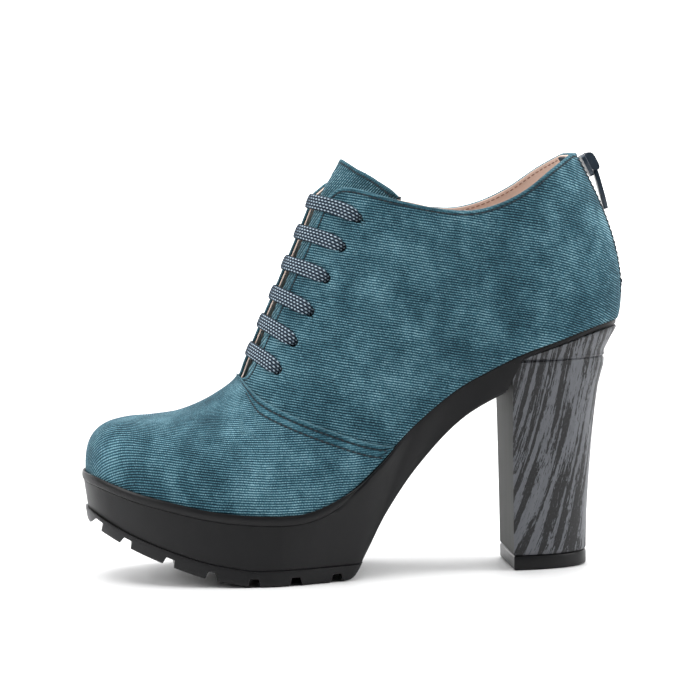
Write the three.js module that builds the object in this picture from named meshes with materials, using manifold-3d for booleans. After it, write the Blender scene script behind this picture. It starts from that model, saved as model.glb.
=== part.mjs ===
// A left women's lace-up shoe on a high block heel and a platform sole.
// Millimetres, +Z up, toe towards -X, outer (lateral) side towards -Y.
import * as THREE from 'three';
import { mergeVertices } from 'three/addons/utils/BufferGeometryUtils.js';
import Module from 'manifold-3d';

const wasm = await Module();
wasm.setup();

// Driving dimensions
const LENGTH = 227;           // toe rim to the back of the heel curve
const BALL_WIDTH = 84;        // feather line across the ball
const SEAT_WIDTH = 58;        // feather line across the heel seat
const ANKLE_WIDTH = 60;       // across the top of the leg
const PLATFORM_HEIGHT = 27.2; // feather line over the floor at the ball
const TOE_SPRING = 16.1;      // feather line at the tip over the ball
const TOE_LIFT = 23.1;        // sole over the floor at the tip
const HEEL_HEIGHT = 102.3;    // feather line over the floor at the back
const INSTEP_HEIGHT = 80;     // ridge over the feather line at the instep
const HEEL_CURVE = 8.4;       // how far the back bulges past a straight line

const WALL = 1.8;             // upper, shell and lining together
const LAP = 0.9;              // step of the vamp over the quarters
const GAP = 0.3;              // between curved pieces that meet
const OPENING_DEPTH = 4.6;    // throat edge below the ridge, at its top

const RIM = 2.4;              // sole edge outside the feather line
const BEAD = 1.4;             // rim bead above the feather line
const OUTSOLE_THICKNESS = 6.5;
const OUTSOLE_LEDGE = 0.7;
const OUTSOLE_END = 0.575;    // share along, where it tapers out under the arch
const SEAT_LAYER = 1.6;       // sole where it runs on over the heel
const LUG_DEPTH = 3.3;
const LUG_SLOT = 5;           // slot width at the tread
const LUG_DRAFT = 0.8;        // how much each wall of a slot leans in
const LUG_PITCH = 17.1;
const LUG_FIRST = 16.9;       // first full slot behind the tip
const LUG_COUNT = 6;
const LUG_TOE = 5.3;          // slot in the curve of the toe

const HEEL_BREAST = 177.2;    // breast behind the tip
const HEEL_WIDTH_TOP = 57;
const HEEL_WIDTH_BOTTOM = 42;
const HEEL_LENGTH_BOTTOM = 33.2;
const TOP_PIECE = 5.8;
const HEEL_GROOVE = 0.5;

const INSOLE_THICKNESS = 3;
const TONGUE_THICKNESS = 2.4;
const TONGUE_SLACK = 0.6;     // tongue under the quarters
const TONGUE_DROP = 22;       // tongue edge below the ridge
const TONGUE_RISE = 12.5;     // tongue tip over the quarter corner

const EYELET_COUNT = 6;
const EYELET_RADIUS = 2.2;
const LACE_WIDTH = 5.8;
const LACE_THICKNESS = 1.9;
const LACE_PINCH = 0.7;       // share of the width it keeps at an eyelet

const ZIP_LENGTH = 56;        // slot, down from the collar
const ZIP_SLOT = 8;
const ZIP_TAPE_WIDTH = 22;
const ZIP_TAPE_THICKNESS = 0.9;
const ZIP_CHAIN_WIDTH = 5;
const ZIP_PROUD = 0.5;
const SLIDER_LENGTH = 10;
const SLIDER_WIDTH = 8.4;
const SLIDER_PLATE = 1.8;
const PIN_RADIUS = 0.8;
const PULL_LENGTH = 22;
const PULL_WIDTH = 5.2;
const PULL_THICKNESS = 1.8;
const PULL_LEAN = 12;         // degrees towards the back, at rest

// Facets
const STATIONS = 44;
const RINGS = 10;

const HEEL_RISE = HEEL_HEIGHT - PLATFORM_HEIGHT;
const BALL_HALF = BALL_WIDTH / 2;
const SEAT_HALF = SEAT_WIDTH / 2;
const ANKLE_HALF = ANKLE_WIDTH / 2;
const { lerp, clamp, smoothstep, degToRad } = THREE.MathUtils;

// Sections of the last from the toe tip to the back of the heel. Each one runs
// from the feather line up to the ridge, or to the top of the leg.
// u: share along the feather line, x: feather point, outer and inner: its sides,
// seat: how far the heel width sets them, spring and rise: its height,
// topX, topZ: upper end, top: half width there, swing: shift of the ridge,
// tall, wide: roundness of the curve between, swell: bulge, fan: radial ends.
const LAST_COLUMNS = ['u', 'x', 'outer', 'inner', 'seat', 'spring', 'rise',
  'topX', 'topZ', 'top', 'swing', 'tall', 'wide', 'swell', 'fan'];
const LAST_ROWS = [
  [0.000, 0.011, -0.19, 0.19, 0.0, 1.00, 0.000, 0.128, 0.276, 0.00, 0.15, 3.1, 3.1, 0.00, 1.0],
  [0.033, 0.016, 0.01, 0.38, 0.0, 0.98, 0.000, 0.129, 0.280, 0.00, 0.15, 3.0, 3.0, 0.00, 1.0],
  [0.071, 0.034, 0.23, 0.56, 0.0, 0.91, 0.000, 0.132, 0.296, 0.00, 0.15, 2.9, 2.9, 0.00, 1.0],
  [0.115, 0.066, 0.44, 0.73, 0.0, 0.75, 0.000, 0.141, 0.329, 0.00, 0.15, 2.7, 2.7, 0.02, 1.0],
  [0.162, 0.108, 0.62, 0.85, 0.0, 0.56, 0.000, 0.154, 0.373, 0.00, 0.14, 2.5, 2.5, 0.06, 0.9],
  [0.216, 0.163, 0.77, 0.93, 0.0, 0.36, 0.000, 0.181, 0.428, 0.00, 0.12, 2.3, 2.3, 0.10, 0.6],
  [0.279, 0.231, 0.90, 0.98, 0.0, 0.15, 0.000, 0.216, 0.509, 0.00, 0.09, 2.1, 2.1, 0.12, 0.3],
  [0.336, 0.295, 0.97, 0.98, 0.0, 0.04, 0.000, 0.249, 0.581, 0.00, 0.06, 1.9, 1.9, 0.12, 0.1],
  [0.384, 0.350, 0.98, 0.94, 0.0, 0.00, 0.000, 0.284, 0.660, 0.00, 0.04, 1.8, 1.8, 0.12, 0.0],
  [0.436, 0.410, 1.00, 0.93, 0.2, 0.00, 0.021, 0.308, 0.753, 0.00, 0.03, 1.8, 1.8, 0.12, 0.0],
  [0.489, 0.469, 1.01, 0.94, 0.5, 0.00, 0.107, 0.339, 0.873, 0.00, 0.02, 1.7, 1.8, 0.12, 0.0],
  [0.545, 0.531, 1.02, 0.97, 0.8, 0.00, 0.264, 0.374, 0.950, 0.00, 0.01, 1.7, 1.9, 0.12, 0.0],
  [0.606, 0.599, 1.01, 0.99, 1.0, 0.00, 0.467, 0.414, 1.021, 0.00, 0.00, 1.75, 2.0, 0.12, 0.0],
  [0.675, 0.678, 0.97, 0.98, 1.0, 0.00, 0.654, 0.456, 1.128, 0.00, 0.00, 1.8, 2.2, 0.15, 0.0],
  [0.727, 0.738, 0.98, 0.99, 1.0, 0.00, 0.752, 0.489, 1.204, 0.30, 0.00, 1.4, 1.6, 0.25, 0.0],
  [0.779, 0.797, 1.00, 1.00, 1.0, 0.00, 0.836, 0.555, 1.063, 0.82, 0.00, 1.0, 1.0, 0.35, 0.0],
  [0.834, 0.861, 0.96, 0.96, 1.0, 0.00, 0.900, 0.665, 0.884, 0.98, 0.00, 1.0, 1.0, 0.50, 0.2],
  [0.888, 0.919, 0.78, 0.78, 1.0, 0.00, 0.955, 0.771, 0.876, 0.90, 0.00, 1.0, 1.0, 0.70, 0.5],
  [0.932, 0.958, 0.53, 0.53, 1.0, 0.00, 0.984, 0.837, 0.949, 0.67, 0.00, 1.0, 1.0, 0.88, 0.8],
  [0.969, 0.983, 0.27, 0.27, 1.0, 0.00, 0.996, 0.874, 1.013, 0.35, 0.00, 1.0, 1.0, 0.97, 1.0],
  [1.000, 0.993, 0.00, 0.00, 1.0, 0.00, 1.000, 0.888, 1.034, 0.00, 0.00, 1.0, 1.0, 1.00, 1.0],
];
const LAST_FLAT_ENDS = ['x', 'spring', 'rise', 'topX', 'topZ', 'swell', 'fan', 'tall', 'wide'];

// Underside of the sole on the same stations. x: its edge, lift: share of the
// toe lift, arch: share of the heel rise, edge: share of the rim it keeps.
const SOLE_COLUMNS = ['u', 'x', 'lift', 'arch', 'edge'];
const SOLE_ROWS = [
  [0.000, 0.013, 1.00, 0.000, -0.25],
  [0.041, 0.021, 0.96, 0.000, -0.20],
  [0.086, 0.046, 0.82, 0.000, 0.00],
  [0.138, 0.090, 0.60, 0.000, 0.20],
  [0.200, 0.148, 0.37, 0.000, 0.45],
  [0.263, 0.209, 0.17, 0.000, 0.65],
  [0.320, 0.267, 0.05, 0.000, 0.80],
  [0.360, 0.306, 0.00, 0.000, 0.90],
  [0.410, 0.352, 0.00, 0.000, 0.92],
  [0.462, 0.399, 0.00, 0.000, 0.80],
  [0.517, 0.443, 0.00, 0.000, 0.65],
  [0.540, 0.461, 0.00, 0.000, 0.55],
  [0.560, 0.478, 0.00, 0.007, 0.40],
  [0.576, 0.490, 0.00, 0.044, 0.25],
  [0.606, 0.514, 0.00, 0.173, 0.05],
  [0.640, 0.545, 0.00, 0.346, -0.15],
  [0.688, 0.606, 0.00, 0.606, -0.35],
  [0.740, 0.689, 0.00, 0.859, -0.40],
  [0.786, 0.780, 0.00, 1.008, -0.40],
  [0.834, 0.859, 0.00, 1.100, -0.40],
  [0.895, 0.925, 0.00, 1.160, -0.40],
  [1.000, 0.982, 0.00, 1.200, -0.40],
];
const SOLE_FLAT_ENDS = ['x', 'lift'];

// Collar seen from the side, from the quarter corner to the back.
// x: share of the length, z: share of the instep height over the heel seat.
const COLLAR_COLUMNS = ['t', 'x', 'z'];
const COLLAR_ROWS = [
  [0.00, 0.471, 0.702],
  [0.06, 0.486, 0.716],
  [0.13, 0.510, 0.708],
  [0.28, 0.570, 0.656],
  [0.45, 0.640, 0.608],
  [0.58, 0.700, 0.589],
  [0.70, 0.755, 0.618],
  [0.82, 0.810, 0.690],
  [0.92, 0.860, 0.790],
  [1.00, 0.903, 0.866],
];

// Top edge of the vamp seen from the side, from the throat to the waist.
// z: share of the instep height over the feather line at the ball.
const SEAM_ROWS = [
  [0.00, 0.293, 0.690],
  [0.18, 0.326, 0.587],
  [0.38, 0.374, 0.509],
  [0.62, 0.443, 0.429],
  [0.85, 0.514, 0.359],
  [1.00, 0.565, 0.333],
];

// Heel block from the top piece to the seat. t: share of the height,
// back: share of the way from the bottom's back to the seat's back,
// half: share of the way from the bottom's half width to the top's.
const HEEL_COLUMNS = ['t', 'back', 'half', 'groove'];
const HEEL_ROWS = [
  [0.00, 0.00, 0.00, 0],
  [0.16, 0.04, 0.05, 0],
  [0.34, 0.13, 0.18, 0],
  [0.54, 0.26, 0.38, 0],
  [0.72, 0.43, 0.62, 0],
  [0.82, 0.60, 0.78, 0],
  [0.838, 0.60, 0.80, 1],
  [0.856, 0.60, 0.82, 0],
  [0.92, 0.74, 0.90, 0],
  [1.00, 1.00, 1.00, 0],
];

// Smooth curves through the rows of a table, one for each named column, that
// rise and fall only where the rows do.
function through(columns, rows, flatEnds = []) {
  const last = rows.length - 1;
  const slope = (row, column) => {
    const secant = (from, to) =>
      (rows[to][column] - rows[from][column]) / (rows[to][0] - rows[from][0]);
    if (row === 0 || row === last) {
      return flatEnds.includes(columns[column]) ? 0 : secant(Math.max(row - 1, 0), Math.min(row + 1, last));
    }
    const [into, outOf] = [secant(row - 1, row), secant(row, row + 1)];
    if (into * outOf <= 0) return 0;
    const limit = 3 * Math.min(Math.abs(into), Math.abs(outOf));
    return clamp(secant(row - 1, row + 1), -limit, limit);
  };
  const slopes = rows.map((_, row) => columns.map((_, column) => slope(row, column)));
  return (at) => {
    let row = 0;
    while (row < last - 1 && rows[row + 1][0] < at) row += 1;
    const span = rows[row + 1][0] - rows[row][0];
    const s = clamp((at - rows[row][0]) / span, 0, 1);
    const start = 2 * s ** 3 - 3 * s ** 2 + 1;
    const leave = (s ** 3 - 2 * s ** 2 + s) * span;
    const arrive = (s ** 3 - s ** 2) * span;
    return Object.fromEntries(columns.map((name, column) => [name,
      start * rows[row][column] + leave * slopes[row][column]
      + (1 - start) * rows[row + 1][column] + arrive * slopes[row + 1][column]]));
  };
}

const lastRow = through(LAST_COLUMNS, LAST_ROWS, LAST_FLAT_ENDS);
const soleRow = through(SOLE_COLUMNS, SOLE_ROWS, SOLE_FLAT_ENDS);
const collarRow = through(COLLAR_COLUMNS, COLLAR_ROWS);
const seamRow = through(COLLAR_COLUMNS, SEAM_ROWS);

// Point of the feather line on one side: -1 outer, +1 inner.
function feather(u, side) {
  const row = lastRow(u);
  const half = lerp(BALL_HALF, SEAT_HALF, row.seat);
  return new THREE.Vector3(
    row.x * LENGTH,
    side * half * (side < 0 ? row.outer : row.inner),
    PLATFORM_HEIGHT + TOE_SPRING * row.spring + HEEL_RISE * row.rise,
  );
}

// Direction in plan that points out of the feather line.
function outward(u, side) {
  const step = 0.004;
  const ends = [u - step, u + step].map((at) => {
    if (at < 0) return feather(-at, -side);
    return at > 1 ? feather(2 - at, -side) : feather(at, side);
  });
  const along = ends[1].sub(ends[0]);
  return new THREE.Vector3(-side * along.y, side * along.x, 0).normalize();
}

// Point of the last at share u along and angle phi up its section.
function lastPoint(u, phi, side) {
  const row = lastRow(u);
  const low = feather(u, side);
  const height = Math.max(Math.sin(phi), 0) ** (2 / row.tall);
  const width = Math.max(Math.cos(phi), 0) ** (2 / row.wide);
  const topY = row.swing * BALL_HALF + side * Math.max(row.top, 0) * ANKLE_HALF;
  const bulge = HEEL_CURVE * row.swell * Math.sin(Math.PI * height ** 0.8);
  return new THREE.Vector3(
    lerp(low.x, row.topX * LENGTH, lerp(height, 1 - width, row.fan)),
    lerp(topY, low.y, width),
    low.z + INSTEP_HEIGHT * row.topZ * height,
  ).addScaledVector(outward(u, side), bulge);
}

// Grid of points on both sides, moved out by grow along the surface.
function lastGrid(grow) {
  const sides = [-1, 1].map((side) => Array.from({ length: STATIONS + 1 }, (_, k) =>
    Array.from({ length: RINGS + 1 }, (_, j) =>
      lastPoint(k / STATIONS, (j / RINGS) * Math.PI / 2, side))));
  const moved = sides.map((grid, index) => {
    const other = sides[1 - index];
    const turn = index === 0 ? 1 : -1;
    return grid.map((ring, k) => ring.map((point, j) => {
      const closes = j === RINGS && point.distanceTo(other[k][j]) < 1e-6;
      const back = k > 0 ? grid[k - 1][j] : other[1][j];
      const ahead = k < STATIONS ? grid[k + 1][j] : other[STATIONS - 1][j];
      const below = ring[Math.max(j - 1, 0)];
      const above = closes ? other[k][j - 1] : ring[Math.min(j + 1, RINGS)];
      const normal = ahead.clone().sub(back).cross(above.clone().sub(below)).normalize();
      return point.clone().addScaledVector(normal, turn * grow);
    }));
  });
  moved[0].forEach((ring, k) => ring.forEach((point, j) => {
    const shared = sides[0][k][j].distanceTo(sides[1][k][j]) < 1e-6;
    if (shared) moved[1][k][j].copy(point);
  }));
  return moved;
}

// Closed mesh from the grids of the two sides, bridged below and above, with
// a skirt under the foot where one is asked for.
function closeGrid(grids, skirt = 0) {
  const lowered = (ring) => ring[0].clone().setZ(ring[0].z - skirt);
  const [near, far] = skirt === 0 ? grids
    : grids.map((grid) => grid.map((ring) => [lowered(ring), ...ring]));
  const positions = [];
  const quad = (a, b, c, d) => [a, b, c, a, c, d].forEach((p) => positions.push(p.x, p.y, p.z));
  const top = near[0].length - 1;
  for (let k = 0; k + 1 < near.length; k += 1) {
    for (let j = 0; j < top; j += 1) {
      quad(near[k][j], near[k + 1][j], near[k + 1][j + 1], near[k][j + 1]);
      quad(far[k][j], far[k][j + 1], far[k + 1][j + 1], far[k + 1][j]);
    }
    quad(near[k][0], far[k][0], far[k + 1][0], near[k + 1][0]);
    quad(near[k][top], near[k + 1][top], far[k + 1][top], far[k][top]);
  }
  const geometry = new THREE.BufferGeometry();
  geometry.setAttribute('position', new THREE.Float32BufferAttribute(positions, 3));
  return geometry;
}

// Closed solid of a three.js geometry, with shared corners and no empty faces.
function solid(geometry) {
  const bare = geometry.clone();
  bare.deleteAttribute('normal');
  bare.deleteAttribute('uv');
  const merged = mergeVertices(bare, 1e-4);
  const index = merged.index.array;
  const faces = [];
  for (let i = 0; i < index.length; i += 3) {
    const [a, b, c] = [index[i], index[i + 1], index[i + 2]];
    if (a !== b && b !== c && c !== a) faces.push(a, b, c);
  }
  return new wasm.Manifold(new wasm.Mesh({
    numProp: 3,
    vertProperties: new Float32Array(merged.attributes.position.array),
    triVerts: new Uint32Array(faces),
  }));
}

function geometryOf(body) {
  const { vertProperties, triVerts } = body.getMesh();
  const geometry = new THREE.BufferGeometry();
  geometry.setAttribute('position', new THREE.Float32BufferAttribute(vertProperties, 3));
  geometry.setIndex(Array.from(triVerts));
  geometry.computeVertexNormals();
  return geometry;
}

const lastForm = (grow, skirt = 0) => solid(closeGrid(lastGrid(grow), skirt));

// Prism of an outline seen from the side, [x, z] points, across the shoe.
function sidePrism(outline, half = 1.5 * BALL_WIDTH) {
  const shape = new THREE.Shape(outline.map(([x, z]) => new THREE.Vector2(x, z)));
  const geometry = new THREE.ExtrudeGeometry(shape, { depth: 2 * half, bevelEnabled: false });
  return solid(geometry.rotateX(Math.PI / 2).translate(0, half, 0));
}

// Ridge point at share u, lowered by depth square to the ridge.
function ridge(u, depth = 0) {
  const here = lastPoint(u, Math.PI / 2, -1);
  const along = lastPoint(u + 0.01, Math.PI / 2, -1).sub(lastPoint(u - 0.01, Math.PI / 2, -1));
  const length = Math.hypot(along.x, along.z);
  return [here.x + (depth * along.z) / length, here.z - (depth * along.x) / length];
}

const steps = (count, start, end) =>
  Array.from({ length: count + 1 }, (_, i) => lerp(start, end, i / count));

// Upper

const THROAT_FOOT = 0.386;
const THROAT_TOP = 0.645;
const sidePoint = (row, ground) => [row.x * LENGTH, ground + row.z * INSTEP_HEIGHT];

function openingCurve() {
  const throat = steps(8, THROAT_FOOT, THROAT_TOP).map((u) => {
    const share = smoothstep(u, THROAT_FOOT, THROAT_FOOT + 0.03);
    return ridge(u, share * lerp(0.5, 1, (u - THROAT_FOOT) / (THROAT_TOP - THROAT_FOOT)) * OPENING_DEPTH);
  });
  const collar = steps(26, 0, 1).map((t) => sidePoint(collarRow(t), HEEL_HEIGHT));
  return throat.concat(collar);
}

function openingCutter() {
  const curve = openingCurve();
  const high = HEEL_HEIGHT + 2 * INSTEP_HEIGHT;
  const [footX, footZ] = ridge(THROAT_FOOT, -4 * LAP);
  return sidePrism([[footX, footZ], ...curve, [LENGTH * 1.2, curve.at(-1)[1] + WALL],
    [LENGTH * 1.2, high], [footX, high]]);
}

const seamCurve = () => steps(10, 0, 1).map((t) => sidePoint(seamRow(t), PLATFORM_HEIGHT));

function vampRegion() {
  const curve = seamCurve();
  const [endX] = curve.at(-1);
  const low = -PLATFORM_HEIGHT;
  return sidePrism([[-LENGTH, low], [endX + RIM, low], [endX + RIM, curve.at(-1)[1] - LAP],
    ...curve.reverse(), [curve.at(-1)[0] - 2 * RIM, INSTEP_HEIGHT + PLATFORM_HEIGHT],
    [-LENGTH, INSTEP_HEIGHT + PLATFORM_HEIGHT]]);
}

// Eyelets stand on a straight line of stations and angles. slant: how far
// forward along the ridge the lace crosses it.
const EYELET_FIRST = { u: 0.474, phi: 0.95, slant: 0.023 };
const EYELET_LAST = { u: 0.678, phi: 0.92, slant: 0.043 };

function eyelet(index) {
  const share = index / (EYELET_COUNT - 1);
  const between = (name) => lerp(EYELET_FIRST[name], EYELET_LAST[name], share);
  return { u: between('u'), phi: between('phi'), slant: between('slant') };
}

// Place and outward direction of a point of the last.
function surface(u, phi, side) {
  const point = lastPoint(u, phi, side);
  const along = lastPoint(u + 0.01, phi, side).sub(lastPoint(u - 0.01, phi, side));
  const up = lastPoint(u, phi + 0.02, side).sub(lastPoint(u, phi - 0.02, side));
  const normal = along.cross(up).multiplyScalar(-side).normalize();
  return { point, normal };
}

function eyeletCutters() {
  const cutters = [];
  for (let index = 0; index < EYELET_COUNT; index += 1) {
    for (const side of [-1, 1]) {
      const { u, phi } = eyelet(index);
      const { point, normal } = surface(u, phi, side);
      const turn = new THREE.Quaternion().setFromUnitVectors(new THREE.Vector3(0, 1, 0), normal);
      const punch = new THREE.CylinderGeometry(EYELET_RADIUS, EYELET_RADIUS, 6 * WALL, 12);
      cutters.push(solid(punch.applyQuaternion(turn).translate(point.x, point.y, point.z)));
    }
  }
  return cutters;
}

// Box across the back between two heights, for the zip and its slot.
function backBox(width, low, high) {
  const depth = LENGTH / 4;
  const box = new THREE.BoxGeometry(depth, width, high - low);
  return solid(box.translate(LENGTH, 0, (low + high) / 2));
}

const collarBack = sidePoint(collarRow(1), HEEL_HEIGHT)[1];
const zipFoot = collarBack - ZIP_LENGTH;

function upper() {
  const shell = lastForm(0).add(lastForm(LAP).intersect(vampRegion()));
  const hollow = shell.subtract(lastForm(-WALL, 4 * WALL)).subtract(openingCutter());
  return eyeletCutters().reduce((body, cutter) => body.subtract(cutter), hollow)
    .subtract(backBox(ZIP_SLOT, zipFoot, 2 * collarBack));
}

// Tongue

// Its upper edge seen from the side, from the quarter corner, in shares of the
// rise of its tip.
const TONGUE_TOP = [
  [-0.40, 1.10],
  [0.26, 1.06],
  [0.62, 0.92],
  [1.16, 0.52],
  [1.52, 0.22],
  [1.88, -0.22],
];

function tongue() {
  const skin = WALL + TONGUE_SLACK;
  const band = lastForm(-skin).subtract(lastForm(-skin - TONGUE_THICKNESS));
  const [tipX, tipZ] = sidePoint(collarRow(0), HEEL_HEIGHT);
  const front = steps(8, 0.34, 0.64).map((u) => ridge(u, -2 * WALL));
  const rear = steps(8, 0.66, 0.34).map((u) => ridge(u, TONGUE_DROP));
  const top = TONGUE_TOP.map(([back, up]) => [tipX + back * TONGUE_RISE, tipZ + up * TONGUE_RISE]);
  const region = sidePrism([...front, ...top, ...rear], ANKLE_WIDTH);
  return band.intersect(region);
}

// Sole

// The rim bead fades out first, and then the rim itself, towards the shank.
const beadShare = (u) => 1 - smoothstep(u, 0.45, 0.53);
const rimShare = (u) => 1 - smoothstep(u, 0.53, 0.61);

// Points down the side of the sole at one station.
function soleSection(u, side, grow) {
  const edge = feather(u, side);
  const out = outward(u, side);
  const row = soleRow(u);
  const bead = beadShare(u);
  const inside = lerp(-2 * GAP, LAP + GAP, rimShare(u));
  const outside = lerp(-2 * GAP, RIM, rimShare(u));
  const at = (offset, drop) => edge.clone().addScaledVector(out, offset + grow)
    .setZ(edge.z - GAP + drop);
  const foot = edge.clone().addScaledVector(out, row.edge * RIM + grow);
  foot.x = row.x * LENGTH + out.x * grow;
  foot.z = TOE_LIFT * row.lift + HEEL_RISE * row.arch;
  const waist = at(outside - 0.7 * bead, -1.6 * BEAD);
  const round = 0.8;
  return [
    at(inside, 0),
    at(lerp(inside, outside, 0.15), 0.75 * BEAD * bead),
    at(lerp(inside, outside, 0.55), BEAD * bead),
    at(outside, 0.35 * BEAD * bead),
    at(outside, -BEAD),
    waist,
    waist.clone().lerp(foot, 0.5),
    foot.clone().add(new THREE.Vector3(0, 0, round)),
    foot.clone().addScaledVector(out, -round),
  ].reverse();
}

function soleBody(grow) {
  const sides = [-1, 1].map((side) => steps(STATIONS, 0, 1).map((u) => soleSection(u, side, grow)));
  [0, STATIONS].forEach((k) => { sides[1][k] = sides[0][k]; });
  return solid(closeGrid(sides));
}

// Line between the outsole and the platform above it, seen from the side.
function outsoleLine(raise) {
  const points = steps(24, 0, OUTSOLE_END).map((u) => {
    const row = soleRow(u);
    return [row.x * LENGTH, TOE_LIFT * row.lift + OUTSOLE_THICKNESS + raise];
  });
  const [, startZ] = points[0];
  const [endX, endZ] = points.at(-1);
  return [[-LENGTH, startZ + OUTSOLE_THICKNESS], [-RIM, startZ + 1], ...points,
    [endX + BEAD, endZ + 2 * BEAD]];
}

const below = (curve) => sidePrism([...curve, [curve.at(-1)[0], -LENGTH], [-LENGTH, -LENGTH]]);

function lugSlots() {
  const slots = [];
  for (let index = -1; index < LUG_COUNT; index += 1) {
    const x = index < 0 ? LUG_TOE : LUG_FIRST + index * LUG_PITCH;
    const floor = floorUnder(x);
    const slope = (floorUnder(x + 1) - floorUnder(x - 1)) / 2;
    const corner = (across, up) => [x + across - slope * up, floor + slope * across + up];
    const half = (level) => LUG_SLOT / 2 - LUG_DRAFT * level;
    slots.push(sidePrism([corner(-half(-1), -LUG_DEPTH), corner(half(-1), -LUG_DEPTH),
      corner(half(1), LUG_DEPTH), corner(-half(1), LUG_DEPTH)]));
  }
  return slots;
}

// Height of the sole's underside at a length x behind the tip.
function floorUnder(x) {
  const u = steps(200, 0, 0.6).find((at) => soleRow(at).x * LENGTH >= x) ?? 0.6;
  return TOE_LIFT * soleRow(u).lift;
}

function outsole() {
  const slab = soleBody(OUTSOLE_LEDGE).intersect(below(outsoleLine(-GAP)));
  return lugSlots().reduce((body, slot) => body.subtract(slot), slab);
}

// Space under the seat that the heel block fills.
function heelSpace() {
  const seat = steps(16, HEEL_BREAST - GAP, LENGTH * 1.1).map((x) => [x, seatHeight(x) - SEAT_LAYER - GAP]);
  return sidePrism([...seat, [LENGTH * 1.1, 0], [HEEL_BREAST - GAP, 0]]);
}

// Height of the feather line at a length x behind the tip.
function seatHeight(x) {
  const u = steps(400, 0.4, 1).find((at) => lastRow(at).x * LENGTH >= x) ?? 1;
  return feather(u, -1).z;
}

const platformSole = () => soleBody(0).subtract(below(outsoleLine(0))).subtract(heelSpace());

// Insole

// Slab across the shoe that follows the feather line between two heights.
function featherSlab(low, high) {
  const line = steps(32, 0, 1).map((u) => feather(u, -1));
  const ends = [line[0].clone().setX(-RIM), ...line, line.at(-1).clone().setX(LENGTH + RIM)];
  const raised = (height) => ends.map((p) => [p.x, p.z + height]);
  return sidePrism([...raised(low), ...raised(high).reverse()]);
}

const insole = () => lastForm(-WALL - GAP).intersect(featherSlab(0, INSOLE_THICKNESS));

// Heel

// Half outline of the heel in plan, from the breast edge to the back.
function heelHalf(back, half, side) {
  const depth = back - HEEL_BREAST;
  return [0, 0.22, 0.42, 0.6, 0.74, 0.85, 0.93, 0.98, 1].map((share) =>
    new THREE.Vector3(HEEL_BREAST + depth * share, side * half * (1 - share ** 2.6) ** (1 / 2.1), 0));
}

function heelStack(rows, height) {
  const seatBack = feather(1, -1).x - GAP;
  const footBack = HEEL_BREAST + HEEL_LENGTH_BOTTOM;
  const sides = [-1, 1].map((side) => {
    const rings = rows.map(({ t, back, half, groove }) => {
      const length = lerp(footBack, seatBack, back) - groove * HEEL_GROOVE;
      const width = lerp(HEEL_WIDTH_BOTTOM, HEEL_WIDTH_TOP, half) / 2 - groove * HEEL_GROOVE;
      return heelHalf(length, width, side).map((p) => p.setZ(height(t, p.x)));
    });
    return rings[0].map((_, k) => rings.map((ring) => ring[k]));
  });
  sides[1][sides[1].length - 1] = sides[0].at(-1);
  return solid(closeBlock(sides));
}

// Closed mesh of a block whose two sides also meet in a flat front face.
function closeBlock([near, far]) {
  const geometry = closeGrid([near, far]);
  const positions = Array.from(geometry.attributes.position.array);
  const front = [near[0], far[0]];
  for (let j = 0; j + 1 < front[0].length; j += 1) {
    const [a, b, c, d] = [front[0][j], front[0][j + 1], front[1][j + 1], front[1][j]];
    [a, b, c, a, c, d].forEach((p) => positions.push(p.x, p.y, p.z));
  }
  geometry.setAttribute('position', new THREE.Float32BufferAttribute(positions, 3));
  return geometry;
}

const heelRows = HEEL_ROWS.map((row) =>
  Object.fromEntries(HEEL_COLUMNS.map((name, column) => [name, row[column]])));

function heel() {
  const low = TOP_PIECE + GAP;
  return heelStack(heelRows, (t, x) =>
    lerp(low, lerp(seatHeight(HEEL_BREAST), seatHeight(x), t ** 3) - SEAT_LAYER - 2 * GAP, t));
}

const topPiece = () => heelStack([heelRows[0], { ...heelRows[0], t: 1 }], (t) => t * TOP_PIECE);

// Laces

// Flat bar over the tongue from one eyelet to the one across.
function laceBar(index) {
  const { u, phi, slant } = eyelet(index);
  const crest = u - slant;
  const path = steps(12, -1, 1).map((s) => {
    const rise = 1 - Math.abs(s) ** 1.6;
    return surface(lerp(u, crest, rise), lerp(phi, Math.PI / 2 - 0.02, rise), s < 0 ? -1 : 1);
  });
  const last = path.length - 1;
  path[last / 2].normal.setY(0).normalize();
  const rings = path.map(({ point, normal }, i) => {
    const along = path[Math.min(i + 1, last)].point.clone().sub(path[Math.max(i - 1, 0)].point);
    const across = along.cross(normal).normalize();
    const half = LACE_WIDTH / 2 * (i === 0 || i === last ? LACE_PINCH : 1);
    const low = point.clone().addScaledVector(normal, GAP);
    const high = point.clone().addScaledVector(normal, GAP + LACE_THICKNESS);
    return [low.clone().addScaledVector(across, -half), low.clone().addScaledVector(across, half),
      high.clone().addScaledVector(across, half), high.clone().addScaledVector(across, -half)];
  });
  return solid(tube(rings));
}

// Closed tube through rings of the same number of corners.
function tube(rings) {
  const positions = [];
  const face = (...corners) => corners.forEach((p) => positions.push(p.x, p.y, p.z));
  const count = rings[0].length;
  rings.slice(1).forEach((ring, i) => {
    for (let j = 0; j < count; j += 1) {
      const next = (j + 1) % count;
      face(rings[i][j], ring[j], ring[next]);
      face(rings[i][j], ring[next], rings[i][next]);
    }
  });
  const end = rings.at(-1);
  for (let j = 1; j + 1 < count; j += 1) {
    face(rings[0][0], rings[0][j], rings[0][j + 1]);
    face(end[0], end[j + 1], end[j]);
  }
  const geometry = new THREE.BufferGeometry();
  geometry.setAttribute('position', new THREE.Float32BufferAttribute(positions, 3));
  return geometry;
}

// Zip

const zipBand = (outer, inner, width, low, high) =>
  lastForm(outer).subtract(lastForm(inner)).intersect(backBox(width, low, high));

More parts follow.
